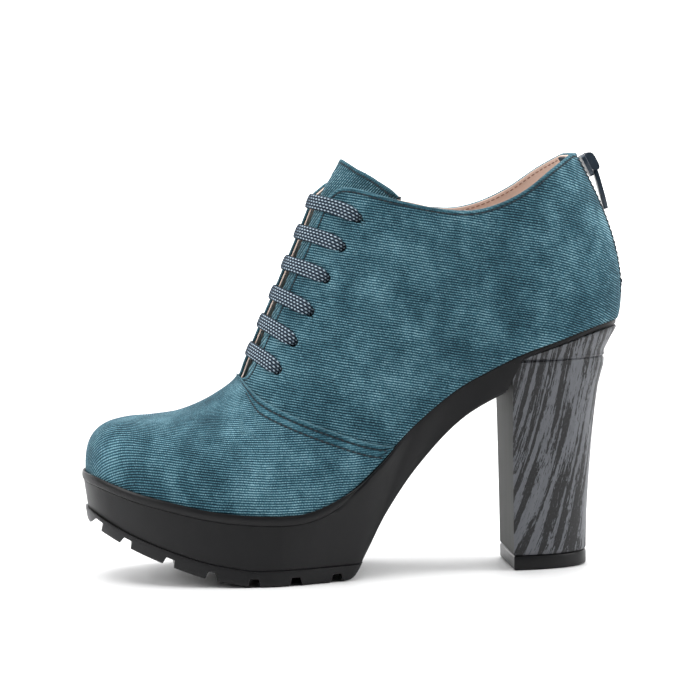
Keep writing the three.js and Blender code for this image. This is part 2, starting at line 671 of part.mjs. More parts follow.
const zipTape = () => zipBand(-WALL - GAP, -WALL - GAP - ZIP_TAPE_THICKNESS,
  ZIP_TAPE_WIDTH, zipFoot - 2 * WALL, collarBack - 2 * WALL);
const zipChain = () => zipBand(ZIP_PROUD, -WALL, ZIP_CHAIN_WIDTH, zipFoot + GAP, collarBack - WALL);

// Side profile extruded across the shoe, in the slider's own frame.
function plate(outline, width) {
  return sidePrism(outline, width / 2);
}

const PIN_OUT = ZIP_PROUD + GAP + SLIDER_PLATE + 3 * PIN_RADIUS;
const PIN_UP = 1.5;
const EYE_RADIUS = 2 * PIN_RADIUS;
const EYE_WIDTH = 2.6;
const CHEEK_THICKNESS = 1.2;

function disc(radius, width, x, z) {
  const cylinder = new THREE.CylinderGeometry(radius, radius, width, 16);
  return solid(cylinder.translate(x, 0, z));
}

function zipSlider() {
  const foot = ZIP_PROUD + GAP;
  const top = foot + SLIDER_PLATE;
  const half = SLIDER_LENGTH / 2;
  const base = plate([[foot, 1 - half], [top, 1.3 - half], [top, half], [foot, half + 0.6]], SLIDER_WIDTH);
  const outer = EYE_WIDTH + 2 * GAP + 2 * CHEEK_THICKNESS;
  const cheeks = plate([[foot + GAP, PIN_UP - 2.2], [top, PIN_UP - 2.2], [PIN_OUT + 1, PIN_UP - 1.4],
    [PIN_OUT + 1.6, PIN_UP], [PIN_OUT + 1, PIN_UP + 1.6], [top, half - 0.4], [foot + GAP, half - 0.4]], outer);
  const slot = plate([[top, PIN_UP - 4], [PIN_OUT + 4, PIN_UP - 4], [PIN_OUT + 4, half + 2],
    [top, half + 2]], EYE_WIDTH + 2 * GAP);
  return cheeks.subtract(slot).add(base).add(disc(PIN_RADIUS, outer - CHEEK_THICKNESS, PIN_OUT, PIN_UP));
}

function zipPull() {
  const half = PULL_THICKNESS / 2;
  const stem = plate([[-half, -6], [half, -6], [half, 0], [-half, 0]], EYE_WIDTH);
  const tab = plate([[-half, -PULL_LENGTH], [half, -PULL_LENGTH], [half, -4], [-half, -4]], PULL_WIDTH);
  return stem.add(disc(EYE_RADIUS, EYE_WIDTH, 0, 0)).add(tab)
    .subtract(disc(PIN_RADIUS + GAP, 2 * EYE_WIDTH, 0, 0));
}

// Assembly

const DENIM = { color: 0x3f6f7e, roughness: 0.9, metalness: 0 };
const RUBBER = { color: 0x2d2d2f, roughness: 0.6, metalness: 0 };
const HEEL_PRINT = { color: 0x6a6c6c, roughness: 0.6, metalness: 0 };
const LINING = { color: 0xe0c4b2, roughness: 0.85, metalness: 0 };
const LACE = { color: 0x3c4a58, roughness: 0.9, metalness: 0 };
const ZIP_METAL = { color: 0x28323e, roughness: 0.45, metalness: 0.3 };

function piece(name, body, look) {
  const mesh = new THREE.Mesh(geometryOf(body), new THREE.MeshStandardMaterial(look));
  mesh.name = name;
  return mesh;
}

// Group on the back line at the slider, standing along the back.
function sliderGroup() {
  const back = surface(1, degToRad(61), -1);
  const group = new THREE.Group();
  group.position.copy(back.point);
  group.rotation.y = -Math.atan2(back.normal.z, back.normal.x);
  const slider = piece('zip_slider', zipSlider(), ZIP_METAL);
  const hinge = new THREE.Group();
  hinge.position.set(PIN_OUT, 0, PIN_UP);
  hinge.rotation.y = degToRad(PULL_LEAN);
  hinge.add(piece('zip_pull', zipPull(), ZIP_METAL));
  group.add(slider, hinge);
  return group;
}

const shoe = new THREE.Group();
shoe.add(
  piece('outsole', outsole(), RUBBER),
  piece('platform_sole', platformSole(), RUBBER),
  piece('heel', heel(), HEEL_PRINT),
  piece('top_piece', topPiece(), RUBBER),
  piece('insole', insole(), LINING),
  piece('upper', upper(), DENIM),
  piece('tongue', tongue(), DENIM),
  piece('zip_tape', zipTape(), ZIP_METAL),
  piece('zip_chain', zipChain(), ZIP_METAL),
  sliderGroup(),
);
for (let index = 0; index < EYELET_COUNT; index += 1) {
  shoe.add(piece(`lace_bar_${index + 1}`, laceBar(index), LACE));
}

// The origin stands on the floor under the middle of the shoe.
const box = new THREE.Box3().setFromObject(shoe);
const middle = box.getCenter(new THREE.Vector3());
const centred = new THREE.Group();
shoe.position.set(-middle.x, -middle.y, -box.min.z);
centred.add(shoe);

export default centred;
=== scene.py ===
"""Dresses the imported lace-up platform shoe: washed denim, laces, zip, sole and heel.

Lengths are in millimetres and in the shoe's own measures (x from the toe rim to
the back, y to the inner side, z up) until a piece is finished. Then it is
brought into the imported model's frame, in metres.
"""

from __future__ import annotations

import logging
import math
from dataclasses import dataclass, field
from enum import Enum
from typing import Callable, Iterable, Sequence

import bmesh
import bpy
from mathutils import Matrix, Vector

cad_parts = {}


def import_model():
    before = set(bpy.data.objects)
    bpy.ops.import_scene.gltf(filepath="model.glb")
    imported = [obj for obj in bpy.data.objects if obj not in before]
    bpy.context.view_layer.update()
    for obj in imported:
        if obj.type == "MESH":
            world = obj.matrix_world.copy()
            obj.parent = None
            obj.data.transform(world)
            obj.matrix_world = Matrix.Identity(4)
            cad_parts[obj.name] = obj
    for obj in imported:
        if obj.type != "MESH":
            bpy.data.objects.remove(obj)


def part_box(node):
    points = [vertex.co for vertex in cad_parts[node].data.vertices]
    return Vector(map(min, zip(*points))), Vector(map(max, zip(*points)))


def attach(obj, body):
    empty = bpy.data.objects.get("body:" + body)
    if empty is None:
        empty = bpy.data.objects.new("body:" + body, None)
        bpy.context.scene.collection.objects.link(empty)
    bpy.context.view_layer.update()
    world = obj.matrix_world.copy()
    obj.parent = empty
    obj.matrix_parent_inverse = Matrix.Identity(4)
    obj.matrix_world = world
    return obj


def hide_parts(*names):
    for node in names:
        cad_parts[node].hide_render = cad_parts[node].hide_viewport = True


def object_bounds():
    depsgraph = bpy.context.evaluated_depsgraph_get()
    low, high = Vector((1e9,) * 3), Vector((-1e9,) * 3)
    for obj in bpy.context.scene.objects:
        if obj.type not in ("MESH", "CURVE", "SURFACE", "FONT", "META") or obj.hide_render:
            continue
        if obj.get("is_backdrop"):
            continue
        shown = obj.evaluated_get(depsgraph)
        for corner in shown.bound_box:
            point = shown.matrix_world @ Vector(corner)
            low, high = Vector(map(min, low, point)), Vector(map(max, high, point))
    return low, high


LOG = logging.getLogger("shoe")
QUARTER_TURN = math.pi / 2
SIDES = (-1, 1)
Placed = tuple[Vector, float, float, float]
Line = list[tuple[Vector, Vector]]
VertTable = list[list[bmesh.types.BMVert]]


# --------------------------------------------------------------------------
# Measures


@dataclass(frozen=True)
class Size:
    """The shoe's driving sizes."""

    length: float = 227.0
    ball_half: float = 42.0
    seat_half: float = 29.0
    ankle_half: float = 30.0
    platform: float = 27.2
    toe_spring: float = 16.1
    toe_lift: float = 23.1
    heel_height: float = 102.3
    instep: float = 80.0
    heel_curve: float = 8.4
    wall: float = 1.8
    lap: float = 0.9
    gap: float = 0.3
    opening_depth: float = 4.6
    rim: float = 2.4
    bead: float = 1.4
    outsole: float = 6.5
    ledge: float = 0.7
    seat_layer: float = 1.6
    lug_depth: float = 3.3
    lug_slot: float = 5.0
    lug_draft: float = 0.8
    lug_pitch: float = 17.1
    lug_first: float = 16.9
    lug_toe: float = 5.3
    breast: float = 177.2
    heel_top: float = 57.0
    heel_bottom: float = 42.0
    heel_foot: float = 33.2
    top_piece: float = 5.8
    groove: float = 0.5
    insole: float = 3.0
    tongue: float = 2.4
    tongue_slack: float = 0.6
    tongue_drop: float = 22.0
    tongue_rise: float = 12.5
    eyelet: float = 2.2
    lace_width: float = 6.4
    lace_thickness: float = 1.9
    zip_length: float = 56.0
    zip_slot: float = 8.0
    zip_tape: float = 22.0
    zip_proud: float = 0.5

    @property
    def heel_rise(self) -> float:
        """Feather line at the heel seat over the one at the ball."""
        return self.heel_height - self.platform


SIZE = Size()


@dataclass(frozen=True)
class Table:
    """Smooth curves through the rows of a table, one for each named column.

    Attributes:
        columns: names of the columns, the first one being the place along.
        rows: the values.
        flat: columns that start and end level.
    """

    columns: tuple[str, ...]
    rows: tuple[tuple[float, ...], ...]
    flat: tuple[str, ...] = ()
    kept: dict[float, dict[str, float]] = field(default_factory=dict, compare=False)

    def slope(self, row: int, column: int) -> float:
        """Slope of one column at one row, level where the rows turn."""

        def secant(first: int, second: int) -> float:
            """Slope of the straight line between two rows."""
            rise = self.rows[second][column] - self.rows[first][column]
            return rise / (self.rows[second][0] - self.rows[first][0])

        last = len(self.rows) - 1
        if row in (0, last):
            if self.columns[column] in self.flat:
                return 0.0
            return secant(max(row - 1, 0), min(row + 1, last))
        before, after = secant(row - 1, row), secant(row, row + 1)
        if before * after <= 0:
            return 0.0
        limit = 3 * min(abs(before), abs(after))
        return max(-limit, min(limit, secant(row - 1, row + 1)))

    def at(self, place: float) -> dict[str, float]:
        """Values of every column at a place along.

        Args:
            place: value of the first column.

        Returns:
            The interpolated value of each column by name.
        """
        if place in self.kept:
            return self.kept[place]
        row = 0
        while row < len(self.rows) - 2 and self.rows[row + 1][0] < place:
            row += 1
        here, there = self.rows[row], self.rows[row + 1]
        span = there[0] - here[0]
        s = max(0.0, min(1.0, (place - here[0]) / span))
        start = 2 * s**3 - 3 * s**2 + 1
        leave, arrive = (s**3 - 2 * s**2 + s) * span, (s**3 - s**2) * span
        found = {
            name: start * here[i]
            + leave * self.slope(row, i)
            + (1 - start) * there[i]
            + arrive * self.slope(row + 1, i)
            for i, name in enumerate(self.columns)
        }
        self.kept[place] = found
        return found


LAST = Table(
    ("u", "x", "outer", "inner", "seat", "spring", "rise", "topX", "topZ", "top", "swing",
     "tall", "wide", "swell", "fan"),
    (
        (0.000, 0.011, -0.19, 0.19, 0.0, 1.00, 0.000, 0.128, 0.276, 0.00, 0.15, 3.1, 3.1, 0.00, 1.0),
        (0.033, 0.016, 0.01, 0.38, 0.0, 0.98, 0.000, 0.129, 0.280, 0.00, 0.15, 3.0, 3.0, 0.00, 1.0),
        (0.071, 0.034, 0.23, 0.56, 0.0, 0.91, 0.000, 0.132, 0.296, 0.00, 0.15, 2.9, 2.9, 0.00, 1.0),
        (0.115, 0.066, 0.44, 0.73, 0.0, 0.75, 0.000, 0.141, 0.329, 0.00, 0.15, 2.7, 2.7, 0.02, 1.0),
        (0.162, 0.108, 0.62, 0.85, 0.0, 0.56, 0.000, 0.154, 0.373, 0.00, 0.14, 2.5, 2.5, 0.06, 0.9),
        (0.216, 0.163, 0.77, 0.93, 0.0, 0.36, 0.000, 0.181, 0.428, 0.00, 0.12, 2.3, 2.3, 0.10, 0.6),
        (0.279, 0.231, 0.90, 0.98, 0.0, 0.15, 0.000, 0.216, 0.509, 0.00, 0.09, 2.1, 2.1, 0.12, 0.3),
        (0.336, 0.295, 0.97, 0.98, 0.0, 0.04, 0.000, 0.249, 0.581, 0.00, 0.06, 1.9, 1.9, 0.12, 0.1),
        (0.384, 0.350, 0.98, 0.94, 0.0, 0.00, 0.000, 0.284, 0.660, 0.00, 0.04, 1.8, 1.8, 0.12, 0.0),
        (0.436, 0.410, 1.00, 0.93, 0.2, 0.00, 0.021, 0.308, 0.753, 0.00, 0.03, 1.8, 1.8, 0.12, 0.0),
        (0.489, 0.469, 1.01, 0.94, 0.5, 0.00, 0.107, 0.339, 0.873, 0.00, 0.02, 1.7, 1.8, 0.12, 0.0),
        (0.545, 0.531, 1.02, 0.97, 0.8, 0.00, 0.264, 0.374, 0.950, 0.00, 0.01, 1.7, 1.9, 0.12, 0.0),
        (0.606, 0.599, 1.01, 0.99, 1.0, 0.00, 0.467, 0.414, 1.021, 0.00, 0.00, 1.75, 2.0, 0.12, 0.0),
        (0.675, 0.678, 0.97, 0.98, 1.0, 0.00, 0.654, 0.456, 1.128, 0.00, 0.00, 1.8, 2.2, 0.15, 0.0),
        (0.727, 0.738, 0.98, 0.99, 1.0, 0.00, 0.752, 0.489, 1.204, 0.30, 0.00, 1.4, 1.6, 0.25, 0.0),
        (0.779, 0.797, 1.00, 1.00, 1.0, 0.00, 0.836, 0.555, 1.063, 0.82, 0.00, 1.0, 1.0, 0.35, 0.0),
        (0.834, 0.861, 0.96, 0.96, 1.0, 0.00, 0.900, 0.665, 0.884, 0.98, 0.00, 1.0, 1.0, 0.50, 0.2),
        (0.888, 0.919, 0.78, 0.78, 1.0, 0.00, 0.955, 0.771, 0.876, 0.90, 0.00, 1.0, 1.0, 0.70, 0.5),
        (0.932, 0.958, 0.53, 0.53, 1.0, 0.00, 0.984, 0.837, 0.949, 0.67, 0.00, 1.0, 1.0, 0.88, 0.8),
        (0.969, 0.983, 0.27, 0.27, 1.0, 0.00, 0.996, 0.874, 1.013, 0.35, 0.00, 1.0, 1.0, 0.97, 1.0),
        (1.000, 0.993, 0.00, 0.00, 1.0, 0.00, 1.000, 0.888, 1.034, 0.00, 0.00, 1.0, 1.0, 1.00, 1.0),
    ),
    ("x", "spring", "rise", "topX", "topZ", "swell", "fan", "tall", "wide"),
)
SOLE = Table(
    ("u", "x", "lift", "arch", "edge"),
    (
        (0.000, 0.013, 1.00, 0.000, -0.25),
        (0.041, 0.021, 0.96, 0.000, -0.20),
        (0.086, 0.046, 0.82, 0.000, 0.00),
        (0.138, 0.090, 0.60, 0.000, 0.20),
        (0.200, 0.148, 0.37, 0.000, 0.45),
        (0.263, 0.209, 0.17, 0.000, 0.65),
        (0.320, 0.267, 0.05, 0.000, 0.80),
        (0.360, 0.306, 0.00, 0.000, 0.90),
        (0.410, 0.352, 0.00, 0.000, 0.92),
        (0.462, 0.399, 0.00, 0.000, 0.80),
        (0.517, 0.443, 0.00, 0.000, 0.65),
        (0.540, 0.461, 0.00, 0.000, 0.55),
        (0.560, 0.478, 0.00, 0.007, 0.40),
        (0.576, 0.490, 0.00, 0.044, 0.25),
        (0.606, 0.514, 0.00, 0.173, 0.05),
        (0.640, 0.545, 0.00, 0.346, -0.15),
        (0.688, 0.606, 0.00, 0.606, -0.35),
        (0.740, 0.689, 0.00, 0.859, -0.40),
        (0.786, 0.780, 0.00, 1.008, -0.40),
        (0.834, 0.859, 0.00, 1.100, -0.40),
        (0.895, 0.925, 0.00, 1.160, -0.40),
        (1.000, 0.982, 0.00, 1.200, -0.40),
    ),
    ("x", "lift"),
)
COLLAR = Table(
    ("t", "x", "z"),
    (
        (0.00, 0.471, 0.702), (0.06, 0.486, 0.716), (0.13, 0.510, 0.708), (0.28, 0.570, 0.656),
        (0.45, 0.640, 0.608), (0.58, 0.700, 0.589), (0.70, 0.755, 0.618), (0.82, 0.810, 0.690),
        (0.92, 0.860, 0.790), (1.00, 0.903, 0.866),
    ),
)
SEAM = Table(
    ("t", "x", "z"),
    (
        (0.00, 0.293, 0.690), (0.18, 0.326, 0.587), (0.38, 0.374, 0.509), (0.62, 0.443, 0.429),
        (0.85, 0.514, 0.359), (1.00, 0.565, 0.333),
    ),
)
HEEL = Table(
    ("t", "back", "half"),
    (
        (0.00, 0.00, 0.00), (0.16, 0.04, 0.05), (0.34, 0.13, 0.18), (0.54, 0.26, 0.38),
        (0.72, 0.43, 0.62), (0.82, 0.60, 0.78), (0.856, 0.60, 0.82), (0.92, 0.74, 0.90),
        (1.00, 1.00, 1.00),
    ),
)
THROAT_FOOT = 0.386
THROAT_TOP = 0.645
TONGUE_TOP = ((-0.70, 1.14), (-0.10, 1.10), (0.186, 0.99), (0.606, 0.756), (1.056, 0.52),
              (1.516, 0.22), (1.95, -0.16),
              (2.30, -0.75))
EYELETS = 6
EYELET_FIRST = (0.474, 0.95, 0.023)
EYELET_LAST = (0.678, 0.92, 0.043)


def lerp(a: float, b: float, share: float) -> float:
    """Value between a and b."""
    return a + (b - a) * share


def smooth(value: float, low: float, high: float) -> float:
    """Soft step from 0 at low to 1 at high."""
    s = max(0.0, min(1.0, (value - low) / (high - low)))
    return s * s * (3 - 2 * s)


def spread(count: int, start: float, end: float) -> list[float]:
    """count + 1 even values from start to end."""
    return [lerp(start, end, i / count) for i in range(count + 1)]


Outline = Sequence[tuple[float, float]]


def inside(outline: Outline, x: float, z: float) -> bool:
    """Whether a point of the side view lies in a closed outline."""
    found = False
    ax, az = outline[-1]
    for bx, bz in outline:
        if (az > z) != (bz > z) and x < ax + (z - az) * (bx - ax) / (bz - az):
            found = not found
        ax, az = bx, bz
    return found


class Last:
    """The form that the upper is pulled over."""

    def row(self, u: float) -> dict[str, float]:
        """Measures of the section at a station."""
        return LAST.at(u)

    def feather(self, u: float, side: int) -> Vector:
        """Point of the feather line on one side."""
        row = self.row(u)
        half = lerp(SIZE.ball_half, SIZE.seat_half, row["seat"])
        return Vector((
            row["x"] * SIZE.length,
            side * half * row["outer" if side < 0 else "inner"],
            SIZE.platform + SIZE.toe_spring * row["spring"] + SIZE.heel_rise * row["rise"],
        ))

    def outward(self, u: float, side: int) -> Vector:
        """Direction in plan that points out of the feather line."""
        ends = []
        for at in (u - 0.004, u + 0.004):
            flip = at < 0 or at > 1
            at = -at if at < 0 else 2 - at if at > 1 else at
            ends.append(self.feather(at, -side if flip else side))
        along = ends[1] - ends[0]
        return Vector((-side * along.y, side * along.x, 0)).normalized()

    def point(self, u: float, phi: float, side: int) -> Vector:
        """Point at share u along and angle phi up its section, also past the ends."""
        if u < 0:
            return self.point(-u, phi, -side)
        if u > 1:
            return self.point(2 - u, phi, -side)
        row = self.row(u)
        if phi > QUARTER_TURN and row["top"] < 0.02:
            return self.point(u, math.pi - phi, -side)
        low = self.feather(u, side)
        height = max(math.sin(phi), 0.0) ** (2 / row["tall"])
        width = max(math.cos(phi), 0.0) ** (2 / row["wide"])
        top_y = row["swing"] * SIZE.ball_half + side * max(row["top"], 0.0) * SIZE.ankle_half
        bulge = SIZE.heel_curve * row["swell"] * math.sin(math.pi * height**0.8)
        place = Vector((
            lerp(low.x, row["topX"] * SIZE.length, lerp(height, 1 - width, row["fan"])),
            lerp(top_y, low.y, width),
            low.z + SIZE.instep * row["topZ"] * height,
        ))
        return place + self.outward(u, side) * bulge

    def normal(self, u: float, phi: float, side: int) -> Vector:
        """Direction out of the surface at a point."""
        along = self.point(u + 0.006, phi, side) - self.point(u - 0.006, phi, side)
        high = phi + 0.03
        if high > QUARTER_TURN and self.row(min(u, 1.0))["top"] >= 0.02:
            high = QUARTER_TURN
        up = self.point(u, high, side) - self.point(u, max(phi - 0.03, 0.0), side)
        return (along.cross(up) * -side).normalized()

    def grown(self, u: float, phi: float, side: int, grow: float) -> Vector:
        """Point moved out along the normal."""
        return self.point(u, phi, side) + self.normal(u, phi, side) * grow

    def ridge(self, u: float, depth: float = 0.0) -> tuple[float, float]:
        """Ridge point in the side view, lowered square to the ridge."""
        here = self.point(u, QUARTER_TURN, -1)
        along = self.point(u + 0.01, QUARTER_TURN, -1) - self.point(u - 0.01, QUARTER_TURN, -1)
        length = math.hypot(along.x, along.z)
        return here.x + depth * along.z / length, here.z - depth * along.x / length


class TongueLast(Last):
    """The same form with its sides closed over the instep, for the tongue."""

    def row(self, u: float) -> dict[str, float]:
        """Measures of the section at a station."""
        found = dict(LAST.at(u))
        found["top"] *= smooth(u, 0.69, 0.82)
        return found


LAST_FORM = Last()
TONGUE_FORM = TongueLast()


def side_point(row: dict[str, float], ground: float) -> tuple[float, float]:
    """Point of a side-view table over a ground height."""
    return row["x"] * SIZE.length, ground + row["z"] * SIZE.instep


def opening_outline(side: int) -> Outline:
    """What the throat and the collar leave out of one side; the inner side laps closer."""
    throat = []
    deep = SIZE.opening_depth * (1.0 if side < 0 else 0.2)
    for u in spread(60, THROAT_FOOT, THROAT_TOP):
        share = smooth(u, THROAT_FOOT, THROAT_FOOT + 0.03)
        along = (u - THROAT_FOOT) / (THROAT_TOP - THROAT_FOOT)
        throat.append(LAST_FORM.ridge(u, share * lerp(0.5, 1, along) * deep))
    collar = []
    for t in spread(120, 0, 1):
        x, z = side_point(COLLAR.at(t), SIZE.heel_height)
        rise = (1 - smooth(t, 0.0, 0.2)) * (side > 0)
        collar.append((x - 1.5 * rise, z + 2.2 * rise))
    foot = LAST_FORM.ridge(THROAT_FOOT, -4 * SIZE.lap)
    far, high = SIZE.length * 1.2, SIZE.heel_height + 2 * SIZE.instep
    return [foot, *throat, *collar, (far, collar[-1][1] + SIZE.wall), (far, high), (foot[0], high)]


def vamp_outline() -> Outline:
    """What lies behind the vamp's top edge, seen from the side."""
    seam = [side_point(SEAM.at(t), SIZE.platform) for t in spread(60, 0, 1)]
    end_x, end_z = seam[-1]
    high = SIZE.platform + 2 * SIZE.instep
    return [(seam[0][0] - 2 * SIZE.rim, high), (seam[0][0] - 0.8, seam[0][1] + 2.2), *seam,
            (end_x + SIZE.rim, end_z - SIZE.lap), (end_x + SIZE.rim, -SIZE.platform),
            (SIZE.length * 1.2, -SIZE.platform), (SIZE.length * 1.2, high)]


def tongue_outline() -> Outline:
    """The tongue seen from the side."""
    tip_x, tip_z = side_point(COLLAR.at(0.0), SIZE.heel_height)
    front = [LAST_FORM.ridge(u, -2 * SIZE.wall) for u in spread(30, 0.34, 0.64)]
    top = Table(("t", "x", "z"), tuple((i / 7, *p) for i, p in enumerate(TONGUE_TOP)))
    edge = [(tip_x + row["x"] * SIZE.tongue_rise, tip_z + row["z"] * SIZE.tongue_rise)
            for row in (top.at(t) for t in spread(40, 0, 1))]
    rear = [LAST_FORM.ridge(u, SIZE.tongue_drop) for u in spread(30, 0.66, 0.34)]
    return [*front, *edge, *rear]


# --------------------------------------------------------------------------
# Finishes


class Wire:
    """One value in a material, with operators that add its maths nodes."""

    def __init__(self, bench: "Bench", socket: bpy.types.NodeSocket) -> None:
        """Wraps a socket."""
        self.bench, self.socket = bench, socket

    def _math(self, operation: str, *values: "Wire | float") -> "Wire":
        """Adds one maths node."""
        return self.bench.node("ShaderNodeMath", {"operation": operation}, dict(enumerate(values)))

    def __add__(self, other: "Wire | float") -> "Wire":
        """Sum."""
        return self._math("ADD", self, other)

    __radd__ = __add__

    def __sub__(self, other: "Wire | float") -> "Wire":
        """Difference."""
        return self._math("SUBTRACT", self, other)

    def __rsub__(self, other: float) -> "Wire":
        """Difference from a number."""
        return self._math("SUBTRACT", other, self)

    def __mul__(self, other: "Wire | float") -> "Wire":
        """Product."""
        return self._math("MULTIPLY", self, other)

    __rmul__ = __mul__

    def __truediv__(self, other: "Wire | float") -> "Wire":
        """Quotient."""
        return self._math("DIVIDE", self, other)

    def __pow__(self, other: float) -> "Wire":
        """Power."""
        return self._math("POWER", self, other)

    def wave(self) -> "Wire":
        """0 to 1 and back once for each unit."""
        return self._math("COSINE", self * (2 * math.pi)) * -0.5 + 0.5

    def floor(self) -> "Wire":
        """Whole number below."""
        return self._math("FLOOR", self)

    def abs(self) -> "Wire":
        """Size without its sign."""
        return self._math("ABSOLUTE", self)

    def most(self, other: "Wire | float") -> "Wire":
        """Larger of two."""
        return self._math("MAXIMUM", self, other)

    def step(self, low: float, high: float) -> "Wire":
        """Soft step from 0 at low to 1 at high."""
        return self.bench.node(
            "ShaderNodeMapRange", {"interpolation_type": "SMOOTHSTEP"},
            {0: self, 1: low, 2: high, 3: 0.0, 4: 1.0},
        )


Value = "Wire | float | tuple[float, ...]"


class Bench:
    """A material being made."""

    def __init__(self, name: str) -> None:
        """Starts an empty material with its shader and output."""
        self.material = bpy.data.materials.new(name)
        self.material.use_nodes = True
        self.tree = self.material.node_tree
        self.tree.nodes.clear()
        self.shader = self.tree.nodes.new("ShaderNodeBsdfPrincipled")
        output = self.tree.nodes.new("ShaderNodeOutputMaterial")
        self.tree.links.new(self.shader.outputs[0], output.inputs[0])

    def node(self, kind: str, settings: dict | None = None, inputs: dict | None = None,
             output: int | str = 0) -> Wire:
        """Adds a node.

        Args:
            kind: the node's type.
            settings: its options, and under "stops" a ramp's stops.
            inputs: a value or wire for each socket, by number or name.
            output: the socket that is given back.

        Returns:
            The wire from that socket.
        """
        made = self.tree.nodes.new(kind)
        for name, value in (settings or {}).items():
            if name == "stops":
                elements = made.color_ramp.elements
                while len(elements) < len(value):
                    elements.new(0.5)
                for element, (place, colour) in zip(elements, value):
                    element.position, element.color = place, (*colour, 1.0)
            else:
                setattr(made, name, value)
        for name, value in (inputs or {}).items():
            self.join(value, made.inputs[name])
        return Wire(self, made.outputs[output])

    def join(self, value: "Wire | float | tuple[float, ...]", socket: bpy.types.NodeSocket) -> None:
        """Links a wire to a socket, or sets a number or colour on it."""
        if isinstance(value, Wire):
            self.tree.links.new(value.socket, socket)
        elif isinstance(value, tuple) and socket.type == "RGBA":
            socket.default_value = (*value, 1.0)
        else:
            socket.default_value = value

    def place(self) -> Wire:
        """Object coordinates in millimetres."""
        found = self.node("ShaderNodeTexCoord", output="Object")
        return self.node("ShaderNodeVectorMath", {"operation": "SCALE"}, {0: found, "Scale": 1000.0})

    def cloth(self) -> tuple[Wire, Wire]:
        """Millimetres along and across the piece's own threads."""
        found = self.node("ShaderNodeUVMap", {"uv_map": "threads"})
        split = self.node("ShaderNodeSeparateXYZ", inputs={0: found})
        across = Wire(self, split.socket.node.outputs[1])
        return split * 1000.0, across * 1000.0

    def vector(self, x: "Wire | float", y: "Wire | float", z: "Wire | float" = 0.0) -> Wire:
        """Vector of three values."""
        return self.node("ShaderNodeCombineXYZ", inputs={0: x, 1: y, 2: z})

    def noise(self, where: Wire, size: float, detail: float = 2.0, roughness: float = 0.5) -> Wire:
        """Soft noise with lumps of about that size, in millimetres."""
        return self.node("ShaderNodeTexNoise",
                         inputs={"Vector": where, "Scale": 1.0 / size, "Detail": detail,
                                 "Roughness": roughness})

    def mix(self, share: "Wire | float", first: Value, second: Value) -> Wire:
        """Colour between two."""
        return self.node("ShaderNodeMix", {"data_type": "RGBA"}, {0: share, 6: first, 7: second}, 2)

    def ramp(self, share: Wire, *stops: tuple[float, tuple[float, float, float]]) -> Wire:
        """Colour of a value."""
        return self.node("ShaderNodeValToRGB", {"stops": stops}, {0: share})

    def attribute(self, name: str) -> Wire:
        """Value that the mesh carries."""
        return self.node("ShaderNodeAttribute", {"attribute_name": name}, output="Fac")

    def finish(self, colour: Value, roughness: "Wire | float", height: Wire | None = None,
               depth: float = 0.1, **fixed: float) -> bpy.types.Material:
        """Sets the shader.

        Args:
            colour: base colour.
            roughness: roughness.
            height: relief in shares of the depth, if there is any.
            depth: depth of the relief in millimetres.
            fixed: numbers for other sockets, with _ for each space.

        Returns:
            The finished material.
        """
        self.join(colour, self.shader.inputs["Base Color"])
        self.join(roughness, self.shader.inputs["Roughness"])
        for name, value in fixed.items():
            self.join(value, self.shader.inputs[name.replace("_", " ")])
        if height is not None:
            bump = self.node("ShaderNodeBump",
                             inputs={"Strength": 1.0, "Distance": depth / 1000, "Height": height})
            self.join(bump, self.shader.inputs["Normal"])
        return self.material


@dataclass(frozen=True)
class Denim:
    """Washed teal twill with fine ribs."""

    name: str = "washed_denim"
    pitch: float = 1.05
    float_length: float = 1.1
    contrast: float = 1.0
    grey: float = 0.0
    rows: tuple[float, float] = (1.7, 1.7)

    def make(self) -> bpy.types.Material:
        """The denim: ribs, floats and washed blotches."""
        b = Bench(self.name)
        where = b.place()
        along, across = b.cloth()
        yarn = b.noise(where, 1.3, 3.0, 0.6)
        sway = b.noise(where, 14.0, 2.0)
        rib = across / self.pitch + sway * 1.1 + yarn * 0.22
        ridge = rib.wave()
        step = along / self.float_length + rib.floor() * 0.37 + yarn * 1.6
        floats = step.wave()
        edge = b.attribute("edge")
        hem = 1.0 - edge.step(self.rows[1] - 0.3, self.rows[1] + 0.5)
        weave = ridge * (floats * 0.3 + 0.7) * (1.0 - hem * 0.5) + hem * 0.27
        fleck = b.noise(where, 0.55, 2.0, 0.7)
        cloud = b.noise(where, 24.0, 3.0, 0.6)
        patch = b.noise(where, 7.0, 4.0, 0.7)
        wash = (cloud - 0.5) * 1.5 + (patch - 0.5) * 1.05 + 0.47
        tone = weave * (0.74 * self.contrast) + wash * 0.56 + (fleck - 0.5) * 0.9 - 0.21
        colour = b.ramp(tone, (0.0, (0.005, 0.017, 0.027)), (0.28, (0.016, 0.057, 0.080)),
                        (0.58, (0.052, 0.148, 0.194)), (1.0, (0.26, 0.45, 0.52)))
        # Paler fold edge, within 1 mm of the top edge: part wear of the washed cloth, part painted highlight
        # on the fold.
        fold_wear_and_highlight = (1.0 - edge.step(0.2, 1.0)) * 0.35
        colour = b.mix(fold_wear_and_highlight, colour, (0.11, 0.20, 0.235))
        # Painted shade along the two pressed-in stitch rows.
        first = 1.0 - (edge - self.rows[0]).abs().step(0.15, 0.75)
        second = 1.0 - (edge - self.rows[1]).abs().step(0.15, 0.75)
        shade = first.most(second) * 0.72
        colour = b.mix(shade, colour, (0.004, 0.013, 0.019))
        if self.grey:
            colour = b.mix(self.grey, colour, (0.045, 0.085, 0.095))
        return b.finish(colour, 0.9, weave + fleck * 0.5, 0.2, Specular_IOR_Level=0.14,
                        Sheen_Weight=0.04, Sheen_Roughness=0.5)


